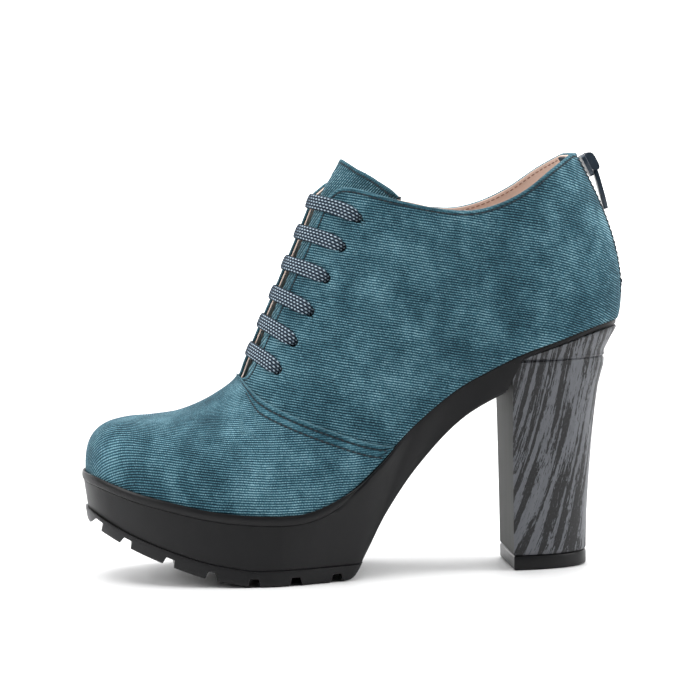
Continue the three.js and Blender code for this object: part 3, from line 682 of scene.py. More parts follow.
@dataclass(frozen=True)
class Lining:
    """Thin pinkish beige leather."""

    name: str = "beige_lining"

    def make(self) -> bpy.types.Material:
        """The lining: fine grain and soft stains."""
        b = Bench(self.name)
        where = b.place()
        grain = b.noise(where, 0.8, 4.0, 0.6)
        stain = b.noise(where, 16.0, 3.0)
        colour = b.ramp(stain * 0.7 + grain * 0.3, (0.2, (0.66, 0.50, 0.42)), (0.8, (0.88, 0.71, 0.62)))
        return b.finish(colour, 0.72, grain, 0.08, Specular_IOR_Level=0.3)


@dataclass(frozen=True)
class Rubber:
    """Black moulded rubber."""

    name: str = "black_rubber"
    colour: tuple[float, float, float] = (0.0046, 0.0046, 0.0053)
    roughness: float = 0.37

    def make(self) -> bpy.types.Material:
        """The rubber: fine pebbling, dust and soft scuffs."""
        b = Bench(self.name)
        where = b.place()
        pebble = b.noise(where, 0.5, 2.0)
        scuff = b.noise(where, 9.0, 4.0, 0.65)
        colour = b.mix(scuff.step(0.45, 0.85) * 0.35, self.colour, (0.011, 0.011, 0.011))
        return b.finish(colour, scuff * 0.18 + self.roughness - 0.06, pebble * 0.6 + scuff * 0.4, 0.05,
                        Specular_IOR_Level=0.26)


@dataclass(frozen=True)
class HeelPrint:
    """Grey film with dark brushed wood grain."""

    name: str = "wood_print"
    streak: float = 3.4

    def make(self) -> bpy.types.Material:
        """The print: slanted streaks with ragged edges."""
        b = Bench(self.name)
        around, up = b.cloth()
        lean = b.noise(b.vector(around / 3.0, up / 9.0), 9.0, 1.0)
        course = around + up * 0.0 + (lean - 0.5) * 7.0
        fine = b.vector(course / 0.42, up / 5.0, 3.0)
        wide = b.vector(course / self.streak, up / 46.0, 7.0)
        ragged = b.vector(course / 0.9, up / 3.0, 11.0)
        band = b.noise(wide, 1.0, 2.0, 0.55)
        hair = b.noise(fine, 1.0, 3.0, 0.6)
        tear = b.noise(ragged, 1.0, 4.0, 0.7)
        amount = band + (tear - 0.5) * 0.44 + (hair - 0.5) * 0.26
        dark = amount.step(0.485, 0.52)
        thin = (hair + (tear - 0.5) * 0.5).step(0.60, 0.65) * 0.85
        speck = b.noise(b.vector(course / 0.5, up / 1.6, 17.0), 1.0, 3.0, 0.75)
        ink = dark.most(thin)
        ink = ink * (1.0 - speck.step(0.60, 0.68) * 0.7)
        ink = ink.most(speck.step(0.66, 0.72) * 0.8)
        base = b.mix(b.noise(wide, 0.6, 2.0), (0.080, 0.084, 0.094), (0.138, 0.144, 0.158))
        colour = b.mix(ink, base, (0.015, 0.015, 0.016))
        return b.finish(colour, ink * 0.1 + 0.42, ink, 0.04, Specular_IOR_Level=0.3)


@dataclass(frozen=True)
class BreastFilm:
    """Grey-green satin film on the front of the heel."""

    name: str = "breast_film"

    def make(self) -> bpy.types.Material:
        """The film: faint upright brushing."""
        b = Bench(self.name)
        where = b.place()
        split = b.node("ShaderNodeSeparateXYZ", inputs={0: where})
        y, z = (Wire(b, split.socket.node.outputs[i]) for i in (1, 2))
        brush = b.noise(b.vector(y / 0.9, z / 40.0), 1.0, 3.0)
        soft = b.noise(b.vector(y / 6.0, z / 60.0), 1.0, 2.0)
        colour = b.mix(brush * 0.5 + soft * 0.5, (0.012, 0.013, 0.012), (0.062, 0.064, 0.058))
        return b.finish(colour, 0.6, brush, 0.03, Specular_IOR_Level=0.12)


@dataclass(frozen=True)
class Braid:
    """Flat braid in dark slate with pale flecks."""

    name: str = "lace_braid"

    def make(self) -> bpy.types.Material:
        """The braid: crossing strands, one pale in each."""
        b = Bench(self.name)
        along, across = b.cloth()
        lane = across / 1.22 + 0.5
        strand = lane.wave()
        bead = (along / 1.75 + lane.floor() * 0.5).wave()
        yarn = b.noise(b.place(), 0.35, 3.0, 0.7)
        turned = b.attribute("edge").step(0.16, 0.36)
        fleck = (strand * bead + (yarn - 0.5) * 0.3).step(0.40, 0.62) * turned
        dark = b.mix(strand, (0.006, 0.011, 0.019), (0.050, 0.078, 0.110))
        colour = b.mix(fleck * (yarn * 0.9 + 0.45), dark, (0.42, 0.52, 0.60))
        return b.finish(colour, 0.85, strand * 0.6 + bead * 0.35 + yarn * 0.3, 0.4,
                        Specular_IOR_Level=0.2)


@dataclass(frozen=True)
class Thread:
    """Waxed sewing thread, whose dark colour also paints the shadow line on the vamp's rim."""

    name: str = "sewing_thread"
    colour: tuple[float, float, float] = (0.004, 0.009, 0.014)

    def make(self) -> bpy.types.Material:
        """The thread: a tight twist."""
        b = Bench(self.name)
        twist = b.noise(b.place(), 0.4, 2.0)
        colour = b.mix(twist, self.colour, tuple(2.2 * c for c in self.colour))
        return b.finish(colour, 0.7, twist, 0.05)


@dataclass(frozen=True)
class ZipCloth:
    """Dark woven tape of the zip."""

    name: str = "zip_tape_cloth"

    def make(self) -> bpy.types.Material:
        """The tape: fine upright cords."""
        b = Bench(self.name)
        where = b.place()
        split = b.node("ShaderNodeSeparateXYZ", inputs={0: where})
        y, z = (Wire(b, split.socket.node.outputs[i]) for i in (1, 2))
        cords = (y / 0.9).wave() * 0.7 + (z / 0.7).wave() * 0.3
        colour = b.mix(cords, (0.006, 0.014, 0.022), (0.024, 0.046, 0.064))
        return b.finish(colour, 0.85, cords, 0.12)


@dataclass(frozen=True)
class Enamel:
    """Dark navy enamel on zip metal."""

    name: str = "zip_enamel"

    def make(self) -> bpy.types.Material:
        """The enamel: smooth with fine wear."""
        b = Bench(self.name)
        wear = b.noise(b.place(), 1.6, 4.0, 0.65)
        colour = b.mix(wear.step(0.5, 0.8), (0.014, 0.026, 0.042), (0.035, 0.052, 0.070))
        return b.finish(colour, wear * 0.2 + 0.25, wear, 0.02, Metallic=0.35, Coat_Weight=0.2)


@dataclass(frozen=True)
class PaleFloor:
    """Pale studio floor."""

    name: str = "studio_floor"

    def make(self) -> bpy.types.Material:
        """The floor: nearly white and matt."""
        b = Bench(self.name)
        tone = b.noise(b.place(), 300.0, 2.0)
        colour = b.mix(tone, (0.715, 0.715, 0.72), (0.745, 0.745, 0.745))
        return b.finish(colour, 0.5, None, Specular_IOR_Level=0.3)


@dataclass(frozen=True)
class Backdrop:
    """White backdrop that glows softly."""

    name: str = "studio_backdrop"

    def make(self) -> bpy.types.Material:
        """The backdrop: plain white."""
        b = Bench(self.name)
        tone = b.noise(b.place(), 400.0, 1.0)
        colour = b.mix(tone, (0.88, 0.88, 0.88), (0.9, 0.9, 0.9))
        return b.finish(colour, 0.9, None, Emission_Color=(1.0, 1.0, 1.0), Emission_Strength=0.9)


@dataclass
class Finishes:
    """Every material of the shoe, made once."""

    made: dict[str, bpy.types.Material] = field(default_factory=dict)

    def of(self, finish: object) -> bpy.types.Material:
        """The material of a finish."""
        if finish.name not in self.made:
            self.made[finish.name] = finish.make()
        return self.made[finish.name]


FINISHES = Finishes()


# --------------------------------------------------------------------------
# Mesh work


class Carrier(Enum):
    """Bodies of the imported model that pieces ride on."""

    SHOE = "shoe"
    PULL = "pull"


@dataclass
class Placement:
    """Brings the shoe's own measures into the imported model's frame."""

    shift: Vector = field(default_factory=Vector)

    def read(self) -> None:
        """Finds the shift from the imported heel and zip."""
        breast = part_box("heel")[0].x * 1000
        low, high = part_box("zip_chain")
        self.shift = Vector((breast - SIZE.breast, (low.y + high.y) * 500, 0))

    def matrix(self) -> Matrix:
        """Matrix from the shoe's measures to metres in the frame."""
        return Matrix.Scale(0.001, 4) @ Matrix.Translation(self.shift)


PLACEMENT = Placement()


class Maker:
    """A mesh being made, with threads' coordinates for its cloth."""

    def __init__(self) -> None:
        """Starts an empty mesh."""
        self.bm = bmesh.new()
        self.along = self.bm.verts.layers.float.new("along")
        self.across = self.bm.verts.layers.float.new("across")
        self.edge = self.bm.verts.layers.float.new("edge")

    def grid(self, columns: int, rows: int,
             place: Callable[[int, int], Placed]) -> VertTable:
        """Lays a grid of vertices out with a function.

        Args:
            columns: cells along.
            rows: cells up.
            place: gives the point, the thread coordinates and the distance from
                the edge at a column and a row.

        Returns:
            The vertices by column and row.
        """
        made = bmesh.ops.create_grid(self.bm, x_segments=columns, y_segments=rows, size=1.0)["verts"]
        table: VertTable = [[None] * (rows + 1) for _ in range(columns + 1)]
        for vert in made:
            k = round((vert.co.x + 1) / 2 * columns)
            j = round((vert.co.y + 1) / 2 * rows)
            table[k][j] = vert
        for k, column in enumerate(table):
            for j, vert in enumerate(column):
                point, along, across, edge = place(k, j)
                vert.co = point
                vert[self.along], vert[self.across], vert[self.edge] = along, across, edge
        return table

    def bridge(self, first: Sequence[bmesh.types.BMVert], second: Sequence[bmesh.types.BMVert]) -> None:
        """Strip of faces between two rows of vertices."""
        for a, b, c, d in zip(first, first[1:], second[1:], second):
            corners = [v for i, v in enumerate((a, b, c, d)) if v not in (a, b, c, d)[:i]]
            if len(corners) > 2 and self.bm.faces.get(corners) is None:
                self.bm.faces.new(corners)

    def weld(self, distance: float = 1e-4) -> None:
        """Joins what lies together and turns the faces outwards."""
        bmesh.ops.remove_doubles(self.bm, verts=self.bm.verts[:], dist=distance)
        bmesh.ops.dissolve_degenerate(self.bm, dist=1e-5, edges=self.bm.edges[:])
        faces = self.bm.faces[:]
        bmesh.ops.recalc_face_normals(self.bm, faces=faces)
        middle = sum((face.calc_center_median() for face in faces), Vector()) / len(faces)
        facing = sum(face.normal.dot(face.calc_center_median() - middle) * face.calc_area() for face in faces)
        if facing < 0:
            bmesh.ops.reverse_faces(self.bm, faces=faces)

    def block(self, width: float, depth: float, height: float, bevel: float, matrix: Matrix) -> None:
        """Rounded block."""
        made = bmesh.ops.create_cube(self.bm, size=1.0,
                                     matrix=matrix @ Matrix.Diagonal((width, depth, height, 1)))["verts"]
        edges = list({e for v in made for e in v.link_edges})
        bmesh.ops.bevel(self.bm, geom=edges, offset=bevel, offset_type="OFFSET", affect="EDGES",
                        segments=2, profile=0.5, material=-1, clamp_overlap=True)

    def publish(self, name: str, finishes: Iterable[object], slot: str, stands_for: Sequence[str] = (),
                carrier: Carrier = Carrier.SHOE, matrix: Matrix | None = None,
                flat_angle: float = 50.0) -> bpy.types.Object:
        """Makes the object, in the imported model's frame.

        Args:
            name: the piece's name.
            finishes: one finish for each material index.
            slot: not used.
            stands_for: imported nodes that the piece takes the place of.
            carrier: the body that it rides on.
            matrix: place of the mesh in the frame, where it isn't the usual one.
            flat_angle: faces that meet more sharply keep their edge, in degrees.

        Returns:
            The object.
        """
        layer = self.bm.loops.layers.uv.new("threads")
        for face in self.bm.faces:
            face.smooth = True
            for loop in face.loops:
                loop[layer].uv = (loop.vert[self.along] / 1000, loop.vert[self.across] / 1000)
        sharp = math.radians(flat_angle)
        for edge in self.bm.edges:
            edge.smooth = edge.calc_face_angle(0.0) < sharp
        self.bm.transform(matrix or PLACEMENT.matrix())
        mesh = bpy.data.meshes.new(name)
        self.bm.to_mesh(mesh)
        self.bm.free()
        for finish in finishes:
            mesh.materials.append(FINISHES.of(finish))
        piece = bpy.data.objects.new(name, mesh)
        bpy.context.scene.collection.objects.link(piece)
        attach(piece, carrier.value)
        if stands_for:
            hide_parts(*stands_for)
        LOG.info("%s: %d faces", name, len(mesh.polygons))
        return piece


def thicken(piece: bpy.types.Object, thickness: float, offset: float = -1.0, inner: int = 0,
            rim: int = 0) -> None:
    """Gives a sheet its wall, in millimetres, and applies it."""
    solid = piece.modifiers.new("wall", "SOLIDIFY")
    solid.thickness = thickness / 1000
    solid.offset = offset
    solid.use_even_offset = False
    solid.use_quality_normals = True
    solid.material_offset = inner
    solid.material_offset_rim = rim
    settle(piece)


def settle(piece: bpy.types.Object) -> None:
    """Applies a piece's modifiers."""
    graph = bpy.context.evaluated_depsgraph_get()
    mesh = bpy.data.meshes.new_from_object(piece.evaluated_get(graph))
    old = piece.data
    piece.modifiers.clear()
    piece.data = mesh
    bpy.data.meshes.remove(old)
    mesh.name = piece.name


def cut(piece: bpy.types.Object, cutters: Maker) -> None:
    """Cuts solids out of a piece."""
    mesh = bpy.data.meshes.new("cutter")
    cutters.bm.transform(PLACEMENT.matrix())
    cutters.bm.to_mesh(mesh)
    cutters.bm.free()
    tool = bpy.data.objects.new("cutter", mesh)
    bpy.context.scene.collection.objects.link(tool)
    boolean = piece.modifiers.new("slots", "BOOLEAN")
    boolean.operation, boolean.solver, boolean.object = "DIFFERENCE", "EXACT", tool
    settle(piece)
    bpy.data.objects.remove(tool)
    bpy.data.meshes.remove(mesh)


@dataclass
class Column:
    """One station of a sheet on the last, from its low edge to its high one."""

    u: float
    side: int
    low: float
    high: float
    form: Last = LAST_FORM
    phis: list[float] = field(default_factory=list)
    arcs: list[float] = field(default_factory=list)

    def __post_init__(self) -> None:
        """Measures the section."""
        self.phis = spread(70, self.low, self.high)
        before = None
        total = 0.0
        for phi in self.phis:
            point = self.form.point(self.u, phi, self.side)
            total += 0.0 if before is None else (point - before).length
            self.arcs.append(total)
            before = point

    @property
    def length(self) -> float:
        """Length up the section."""
        return self.arcs[-1]

    def phi(self, arc: float) -> float:
        """Angle at a length up the section."""
        arc = max(0.0, min(self.length, arc))
        low, high = 0, len(self.arcs) - 1
        while high - low > 1:
            middle = (low + high) // 2
            if self.arcs[middle] <= arc:
                low = middle
            else:
                high = middle
        span = self.arcs[high] - self.arcs[low]
        share = 0.0 if span < 1e-9 else (arc - self.arcs[low]) / span
        return lerp(self.phis[low], self.phis[high], share)

    def point(self, arc: float, grow: float = 0.0) -> Vector:
        """Point at a length up the section, moved out."""
        return self.form.grown(self.u, self.phi(arc), self.side, grow)

    def normal(self, arc: float) -> Vector:
        """Direction out of the surface."""
        return self.form.normal(self.u, self.phi(arc), self.side)


def crossing(u: float, side: int, outline: Outline, form: Last = LAST_FORM) -> float:
    """Angle where a section enters an outline, or the top if it doesn't."""
    samples = spread(90, 0.0, QUARTER_TURN)
    entered = None
    for before, phi in zip(samples, samples[1:]):
        point = form.point(u, phi, side)
        if inside(outline, point.x, point.z):
            entered = (before, phi)
            break
    if entered is None:
        return QUARTER_TURN
    near, far = entered
    for _ in range(14):
        middle = (near + far) / 2
        point = form.point(u, middle, side)
        if inside(outline, point.x, point.z):
            far = middle
        else:
            near = middle
    return (near + far) / 2


EDGE_ROWS = (0.0, 0.3, 0.7, 1.1, 1.45, 1.75, 2.1, 2.5, 3.2, 4.1, 4.7, 5.2, 5.7, 6.4, 7.4)


@dataclass
class Sheet:
    """Cloth over the last between two edges.

    Attributes:
        columns: stations of one side.
        rows: cells up.
        relief: height over the last at a distance from the top edge.
        threads: gives the thread coordinates of a place on a column.
        edge_start: columns before this share have no top edge of their own.
    """

    columns: list[Column]
    rows: int
    relief: Callable[[float, Column], float]
    threads: Callable[[Column, float, Vector], tuple[float, float]]
    edge_start: float = 0.0
    ends: list[Vector] = field(default_factory=list)
    depths: list[list[float]] = field(default_factory=list)

    def __post_init__(self) -> None:
        """Finds, on every column, how far down each row beside the top edge lies."""
        self.ends = [c.point(c.length) for c in self.columns]
        for k, column in enumerate(self.columns):
            if column.u < self.edge_start:
                self.depths.append([column.length * i / self.rows for i in range(len(EDGE_ROWS))])
            else:
                self.depths.append([min(self.down(k, d), column.length * 0.9 * (i + 1) / len(EDGE_ROWS))
                                    for i, d in enumerate(EDGE_ROWS)])

    def away(self, k: int, point: Vector) -> float:
        """Distance of a point from the top edge near a column."""
        best = (point - self.ends[k]).length
        for i in range(max(k - 16, 0), min(k + 16, len(self.ends) - 1)):
            if self.columns[i].u < self.edge_start:
                continue
            a, run = self.ends[i], self.ends[i + 1] - self.ends[i]
            square = run.length_squared
            share = 0.0 if square < 1e-9 else max(0.0, min(1.0, (point - a).dot(run) / square))
            best = min(best, (point - a - run * share).length)
        return best

    def down(self, k: int, distance: float) -> float:
        """Length down a column to a distance from the top edge."""
        column = self.columns[k]
        low, high = distance, min(3.2 * distance + 0.5, column.length)
        if distance <= 0 or high <= low:
            return min(max(distance, 0.0), column.length)
        for _ in range(9):
            middle = (low + high) / 2
            if self.away(k, column.point(column.length - middle)) < distance:
                low = middle
            else:
                high = middle
        return (low + high) / 2

    def depth(self, k: int, j: int) -> float:
        """Length from the top edge down the section at a row, counted from the top."""
        near = len(EDGE_ROWS) - 1
        if j <= near:
            return self.depths[k][j]
        return lerp(self.depths[k][near], self.columns[k].length, (j - near) / (self.rows - near))

    def lay(self, maker: Maker) -> VertTable:
        """Adds the sheet to a mesh."""

        def place(k: int, j: int) -> Placed:
            """Point, threads and edge distance at a column and a row."""
            column = self.columns[k]
            down = self.depth(k, self.rows - j)
            arc = column.length - down
            square = 99.0
            if column.u >= self.edge_start and self.rows - j < len(EDGE_ROWS):
                square = EDGE_ROWS[self.rows - j]
            point = column.point(arc, self.relief(square, column))
            along, across = self.threads(column, arc, column.point(arc))
            return point, along, across, square

        return maker.grid(len(self.columns) - 1, self.rows, place)

    def line(self, distance: float, grow: float, start: float = 0.0, end: float = 1.0) -> Line:
        """Points and normals at a distance below the top edge."""
        found = []
        for k, column in enumerate(self.columns):
            arc = column.length - self.down(k, distance)
            if start <= column.u <= end and arc > 0.3:
                found.append((column.point(arc, grow), column.normal(arc)))
        return found


def stitches(lines: Sequence[Line], pitch: float = 2.3, length: float = 1.9,
             thick: float = 0.62) -> Maker:
    """Short stitches along lines of points with normals."""
    maker = Maker()
    for line in lines:
        left = pitch / 2
        for (a, normal), (b, _) in zip(line, line[1:]):
            step = b - a
            if step.length < 1e-6:
                continue
            while left < step.length:
                middle = a + step * (left / step.length)
                axis = step.normalized()
                side = normal.cross(axis).normalized()
                up = axis.cross(side)
                turn = Matrix((side, up, axis)).transposed().to_4x4()
                bmesh.ops.create_uvsphere(
                    maker.bm, u_segments=6, v_segments=4, radius=0.5,
                    matrix=(Matrix.Translation(middle) @ turn
                            @ Matrix.Diagonal((thick, thick * 0.8, length, 1))),
                )
                left += pitch
            left -= step.length
    return maker


# --------------------------------------------------------------------------
# Upper


def quarter_threads(column: Column, arc: float, point: Vector) -> tuple[float, float]:
    """Near-level ribs that fall towards the back."""
    back = max(0.0, point.x - 190.0)
    across = point.z + 0.19 * point.x + 0.006 * back**2
    return point.x * 0.9 + point.y * 0.6 * column.side, across


@dataclass
class Upper:
    """The denim quarters and vamp with their lining and seams."""

    rows: int = 58
    denim: float = 1.15
    lining_drop: float = 0.35
    fold: float = 0.26
    seam_fold: float = 0.5
    stitch_depth: float = 1.7
    vamp_rows: tuple[float, float] = (2.1, 5.2)
    sheets: list[Sheet] = field(default_factory=list)
    vamps: list[Sheet] = field(default_factory=list)

    def stations(self) -> list[float]:
        """Stations of the quarters, closest along the eyelets."""
        return [*spread(60, 0, 0.375)[:-1], *spread(26, 0.375, 0.44)[:-1], *spread(100, 0.44, 0.70)[:-1],
                *spread(66, 0.70, 1.0)]

    def spring(self, down: float, column: Column) -> float:
        """How far the inner quarter's edge springs off the tongue."""
        if column.side < 0:
            return 0.0
        along = smooth(column.u, THROAT_FOOT, THROAT_FOOT + 0.06) * (1 - smooth(column.u, 0.70, 0.76))
        return 1.3 * along * (1 - smooth(down, 0.0, 9.0))

    def quarter_relief(self, down: float, column: Column) -> float:
        """Folded edge with its stitch line pressed in."""
        fold = self.fold * (1 - smooth(down, 1.2, 3.6)) * smooth(down, -0.4, 0.5)
        press = 0.24 * max(0.0, 1 - abs(down - self.stitch_depth) / 0.7)
        return fold - press + self.spring(down, column)

    def quarters(self) -> None:
        """The denim shell and the lining in it, open at the throat and the collar."""
        outer, inner = Maker(), Maker()
        for side in SIDES:
            outline = opening_outline(side)
            columns = [Column(u, side, 0.0, QUARTER_TURN if u < THROAT_FOOT else crossing(u, side, outline))
                       for u in self.stations()]
            sheet = Sheet(columns, self.rows, self.quarter_relief, quarter_threads, THROAT_FOOT + 0.004)
            sheet.lay(outer)
            self.sheets.append(sheet)
            low = [c if c.u < THROAT_FOOT + 0.004
                   else Column(c.u, side, 0.0, c.phi(c.length - self.lining_drop))
                   for c in columns]
            Sheet(low, self.rows - 14, lambda down, column: self.spring(down, column) - self.denim - 0.02,
                  quarter_threads).lay(inner)
        for maker, radius in ((outer, SIZE.eyelet), (inner, 2 * SIZE.eyelet)):
            maker.weld(0.02)
            self.open_zip(maker)
            self.punch(maker, radius)
        shell = outer.publish("quarters", (Denim(),), "denim", ("upper",))
        thicken(shell, self.denim)
        lining = inner.publish("quarter_lining", (Lining(),), "lining")
        thicken(lining, SIZE.wall - self.denim)

    def open_zip(self, maker: Maker) -> None:
        """Cuts the slot of the zip out of the back."""
        foot = side_point(COLLAR.at(1.0), SIZE.heel_height)[1] - SIZE.zip_length
        half = SIZE.zip_slot / 2
        for point, normal in (((0, half, 0), (0, 1, 0)), ((0, -half, 0), (0, -1, 0)),
                              ((0, 0, foot), (0, 0, 1))):
            near = [f for f in maker.bm.faces if f.calc_center_median().x > 190
                    and abs(f.calc_center_median().y) < 3 * half and f.calc_center_median().z > foot - 6]
            parts = {e for f in near for e in f.edges} | {v for f in near for v in f.verts} | set(near)
            bmesh.ops.bisect_plane(maker.bm, geom=list(parts), dist=1e-4, plane_co=point, plane_no=normal)
        gone = [f for f in maker.bm.faces if f.calc_center_median().x > 190
                and abs(f.calc_center_median().y) < half and f.calc_center_median().z > foot]
        bmesh.ops.delete(maker.bm, geom=gone, context="FACES")

    def punch(self, maker: Maker, radius: float) -> None:
        """Punches the lace holes."""
        for index in range(EYELETS):
            for side in SIDES:
                u, phi, _ = eyelet(index)
                centre, normal = LAST_FORM.point(u, phi, side), LAST_FORM.normal(u, phi, side)
                gone = [v for v in maker.bm.verts if (v.co - centre).length < 0.75 * radius]
                bmesh.ops.delete(maker.bm, geom=gone, context="VERTS")
                for vert in maker.bm.verts:
                    away = vert.co - centre
                    if away.length < 1.7 * radius and vert.is_boundary:
                        flat = away - normal * away.dot(normal)
                        vert.co = vert.co + flat.normalized() * (radius - flat.length)
                        threads = quarter_threads(Column(u, side, phi, phi), 0.0, vert.co)
                        vert[maker.along], vert[maker.across] = threads

    def vamp(self) -> bpy.types.Object:
        """The vamp, lapped over the quarters along its folded top edge."""
        outline = vamp_outline()
        end = next(u for u in spread(400, 0.5, 0.62) if crossing(u, -1, outline) < 0.015)
        turn = next(u for u in spread(400, 0.37, 0.45) if crossing(u, -1, outline) < QUARTER_TURN - 0.02)
        stations = [*spread(78, 0, turn)[:-1], *spread(70, turn, end)]
        maker = Maker()
        for side in SIDES:
            columns = [Column(u, side, 0.0, QUARTER_TURN if u < turn - 1e-6
                              else max(crossing(u, side, outline), 0.012))
                       for u in stations]
            sheet = Sheet(columns, 46, self.vamp_relief, VampThreads(side).at, turn)
            sheet.lay(maker)
            self.vamps.append(sheet)
        maker.weld(0.02)
        # The second material darkens the vamp's rim faces in thread colour: a painted shadow line along the
        # top of the fold.
        piece = maker.publish("vamp", (Denim("vamp_denim", rows=self.vamp_rows), Thread("vamp_rim_painted_shadow")),
                              "denim")
        thicken(piece, SIZE.lap - 0.02, rim=1)
        return piece

    def vamp_relief(self, down: float, column: Column) -> float:
        """Height of the vamp: a fold at its edge, two rows pressed in."""
        fold = self.seam_fold * (1 - smooth(down, 0.9, 2.0)) * smooth(down, -0.3, 0.5)
        band = 0.22 * (1 - smooth(down, 5.0, 6.4))
        press = sum(0.34 * max(0.0, 1 - abs(down - at) / 0.7) for at in self.vamp_rows)
        return SIZE.lap + fold + band - press

    def seams(self) -> None:
        """Stitch rows along the edges."""
        lines = []
        for sheet in self.sheets:
            lines.append(sheet.line(self.stitch_depth, 0.16, THROAT_FOOT + 0.03, 0.985))
        for sheet in self.vamps:
            lines.append(sheet.line(self.vamp_rows[0], SIZE.lap + 0.1, sheet.edge_start))
            lines.append(sheet.line(self.vamp_rows[1], SIZE.lap + 0.05, sheet.edge_start))
        lines.extend(self.back_rows())
        stitches(lines).publish("seam_stitches", (Thread(),), "denim")
        inner = [sheet.line(self.stitch_depth, -SIZE.wall - 0.02, 0.70, 0.985) for sheet in self.sheets]
        pale = Thread("lining_thread", (0.20, 0.12, 0.09))
        stitches(inner).publish("lining_stitches", (pale,), "lining")

    def back_rows(self) -> list[Line]:
        """Two rows of stitches beside the zip, on each side."""
        high = side_point(COLLAR.at(1.0), SIZE.heel_height)[1] - self.stitch_depth
        low = high - SIZE.zip_length
        rows = []
        for side in SIDES:
            for away in (1.3, 3.0):
                row = []
                for share in spread(50, 0, 1):
                    found = back_point(lerp(low - away, high, share), SIZE.zip_slot / 2 + away, side)
                    row.append((LAST_FORM.grown(*found, side, 0.1), LAST_FORM.normal(*found, side)))
                rows.append(row)
        return rows

    def build(self) -> None:
        """Builds the upper."""
        self.quarters()
        self.vamp()
        self.seams()


def back_point(height: float, away: float, side: int) -> tuple[float, float]:
    """Station and angle of a place beside the back line, by its height and distance."""
    u, phi = 1.0, 1.0
    for _ in range(30):
        here = LAST_FORM.point(u, phi, side)
        up = LAST_FORM.point(u, phi + 0.01, side).z - here.z
        phi = max(0.05, min(QUARTER_TURN - 0.02, phi + 0.01 * (height - here.z) / max(up, 1e-3) * 0.7))
        back = abs(LAST_FORM.point(u - 0.004, phi, side).y) - abs(here.y)
        u = max(0.8, min(1.0, u - 0.004 * (away - abs(here.y)) / max(back, 0.05) * 0.7))
    return u, phi


@dataclass
class VampThreads:
    """Ribs that run level along the side and bend down over the toe."""

    side: int
    turn: float = 65.0
    reach: float = 0.21
    sums: list[float] = field(default_factory=list)

    def __post_init__(self) -> None:
        """Adds up how far the ribs climb along the feather line."""
        total = 0.0
        before = LAST_FORM.feather(0.0, self.side)
        for u in spread(120, 0, 0.6):
            here = LAST_FORM.feather(u, self.side)
            total -= (here - before).length * math.sin(self.angle(u))
            self.sums.append(total)
            before = here

    def angle(self, u: float) -> float:
        """Angle of the ribs against the feather line."""
        return math.radians(self.turn) * (1 - smooth(u, -0.02, self.reach))

    def at(self, column: Column, arc: float, point: Vector) -> tuple[float, float]:
        """Thread coordinates of a place on the vamp."""
        where = column.u / 0.6 * 120
        low = min(int(where), 119)
        climb = lerp(self.sums[low], self.sums[low + 1], where - low)
        foot = LAST_FORM.feather(column.u, column.side).z
        level = 0.5 * (foot - SIZE.platform) if column.u < 0.4 else foot - SIZE.platform
        return column.u * 260.0, arc * math.cos(self.angle(column.u)) + climb + level


def eyelet(index: int) -> tuple[float, float, float]:
    """Station, angle and slant of one eyelet."""
    share = index / (EYELETS - 1)
    return tuple(lerp(a, b, share) for a, b in zip(EYELET_FIRST, EYELET_LAST))


@dataclass
class Tongue:
    """The tongue under the throat, with its folded top edge."""

    rows: int = 40

    def build(self) -> None:
        """Builds the tongue and its stitches."""
        outline = tongue_outline()
        maker = Maker()
        lines = []
        grow = -SIZE.wall - SIZE.tongue_slack
        for side in SIDES:
            columns = []
            for u in [*spread(90, 0.345, 0.67)[:-1], *spread(60, 0.67, 0.83)]:
                low = crossing(u, side, outline, TONGUE_FORM)
                if low >= QUARTER_TURN - 0.01:
                    continue
                high = self.leaving(u, side, outline, low)
                columns.append(Column(u, side, low, high, TONGUE_FORM))
            sheet = Sheet(columns, self.rows, lambda down, column: grow + self.relief(down),
                          self.threads, 0.672)
            sheet.lay(maker)
            line = sheet.line(1.7, grow + 0.16, 0.690)
            lines.append([(self.lean(point), normal) for point, normal in line])
        maker.weld(0.05)
        for vert in maker.bm.verts:
            vert.co = self.lean(vert.co)
        piece = maker.publish("tongue_cloth",
                              (Denim("tongue_denim", 1.0, 1.5, 1.15, 0.15), Lining()),
                              "denim", ("tongue",))
        thicken(piece, SIZE.tongue, inner=1)
        stitches(lines).publish("tongue_stitches", (Thread(),), "denim")

    def lean(self, point: Vector) -> Vector:
        """Bends the tip towards the back."""
        return Vector((point.x + 2.4 * smooth(point.z, 155.0, 172.0), point.y, point.z))

    def relief(self, down: float) -> float:
        """Folded top edge with its stitch line pressed in."""
        fold = 0.3 * (1 - smooth(down, 1.2, 3.4)) * smooth(down, -0.3, 0.5)
        return fold - 0.24 * max(0.0, 1 - abs(down - 1.7) / 0.7)

    def threads(self, column: Column, arc: float, point: Vector) -> tuple[float, float]:
        """Diagonal ribs."""
        return 0.6 * point.x + 0.6 * point.z, -0.78 * point.x - 0.12 * abs(point.y) + 0.62 * point.z

    def leaving(self, u: float, side: int, outline: Outline, low: float) -> float:
        """Angle where a section leaves the outline again."""
        near = None
        for phi in spread(140, low + 0.004, QUARTER_TURN):
            point = TONGUE_FORM.point(u, phi, side)
            if not inside(outline, point.x, point.z):
                return phi if near is None else (near + phi) / 2
            near = phi
        return QUARTER_TURN


# --------------------------------------------------------------------------
# Laces


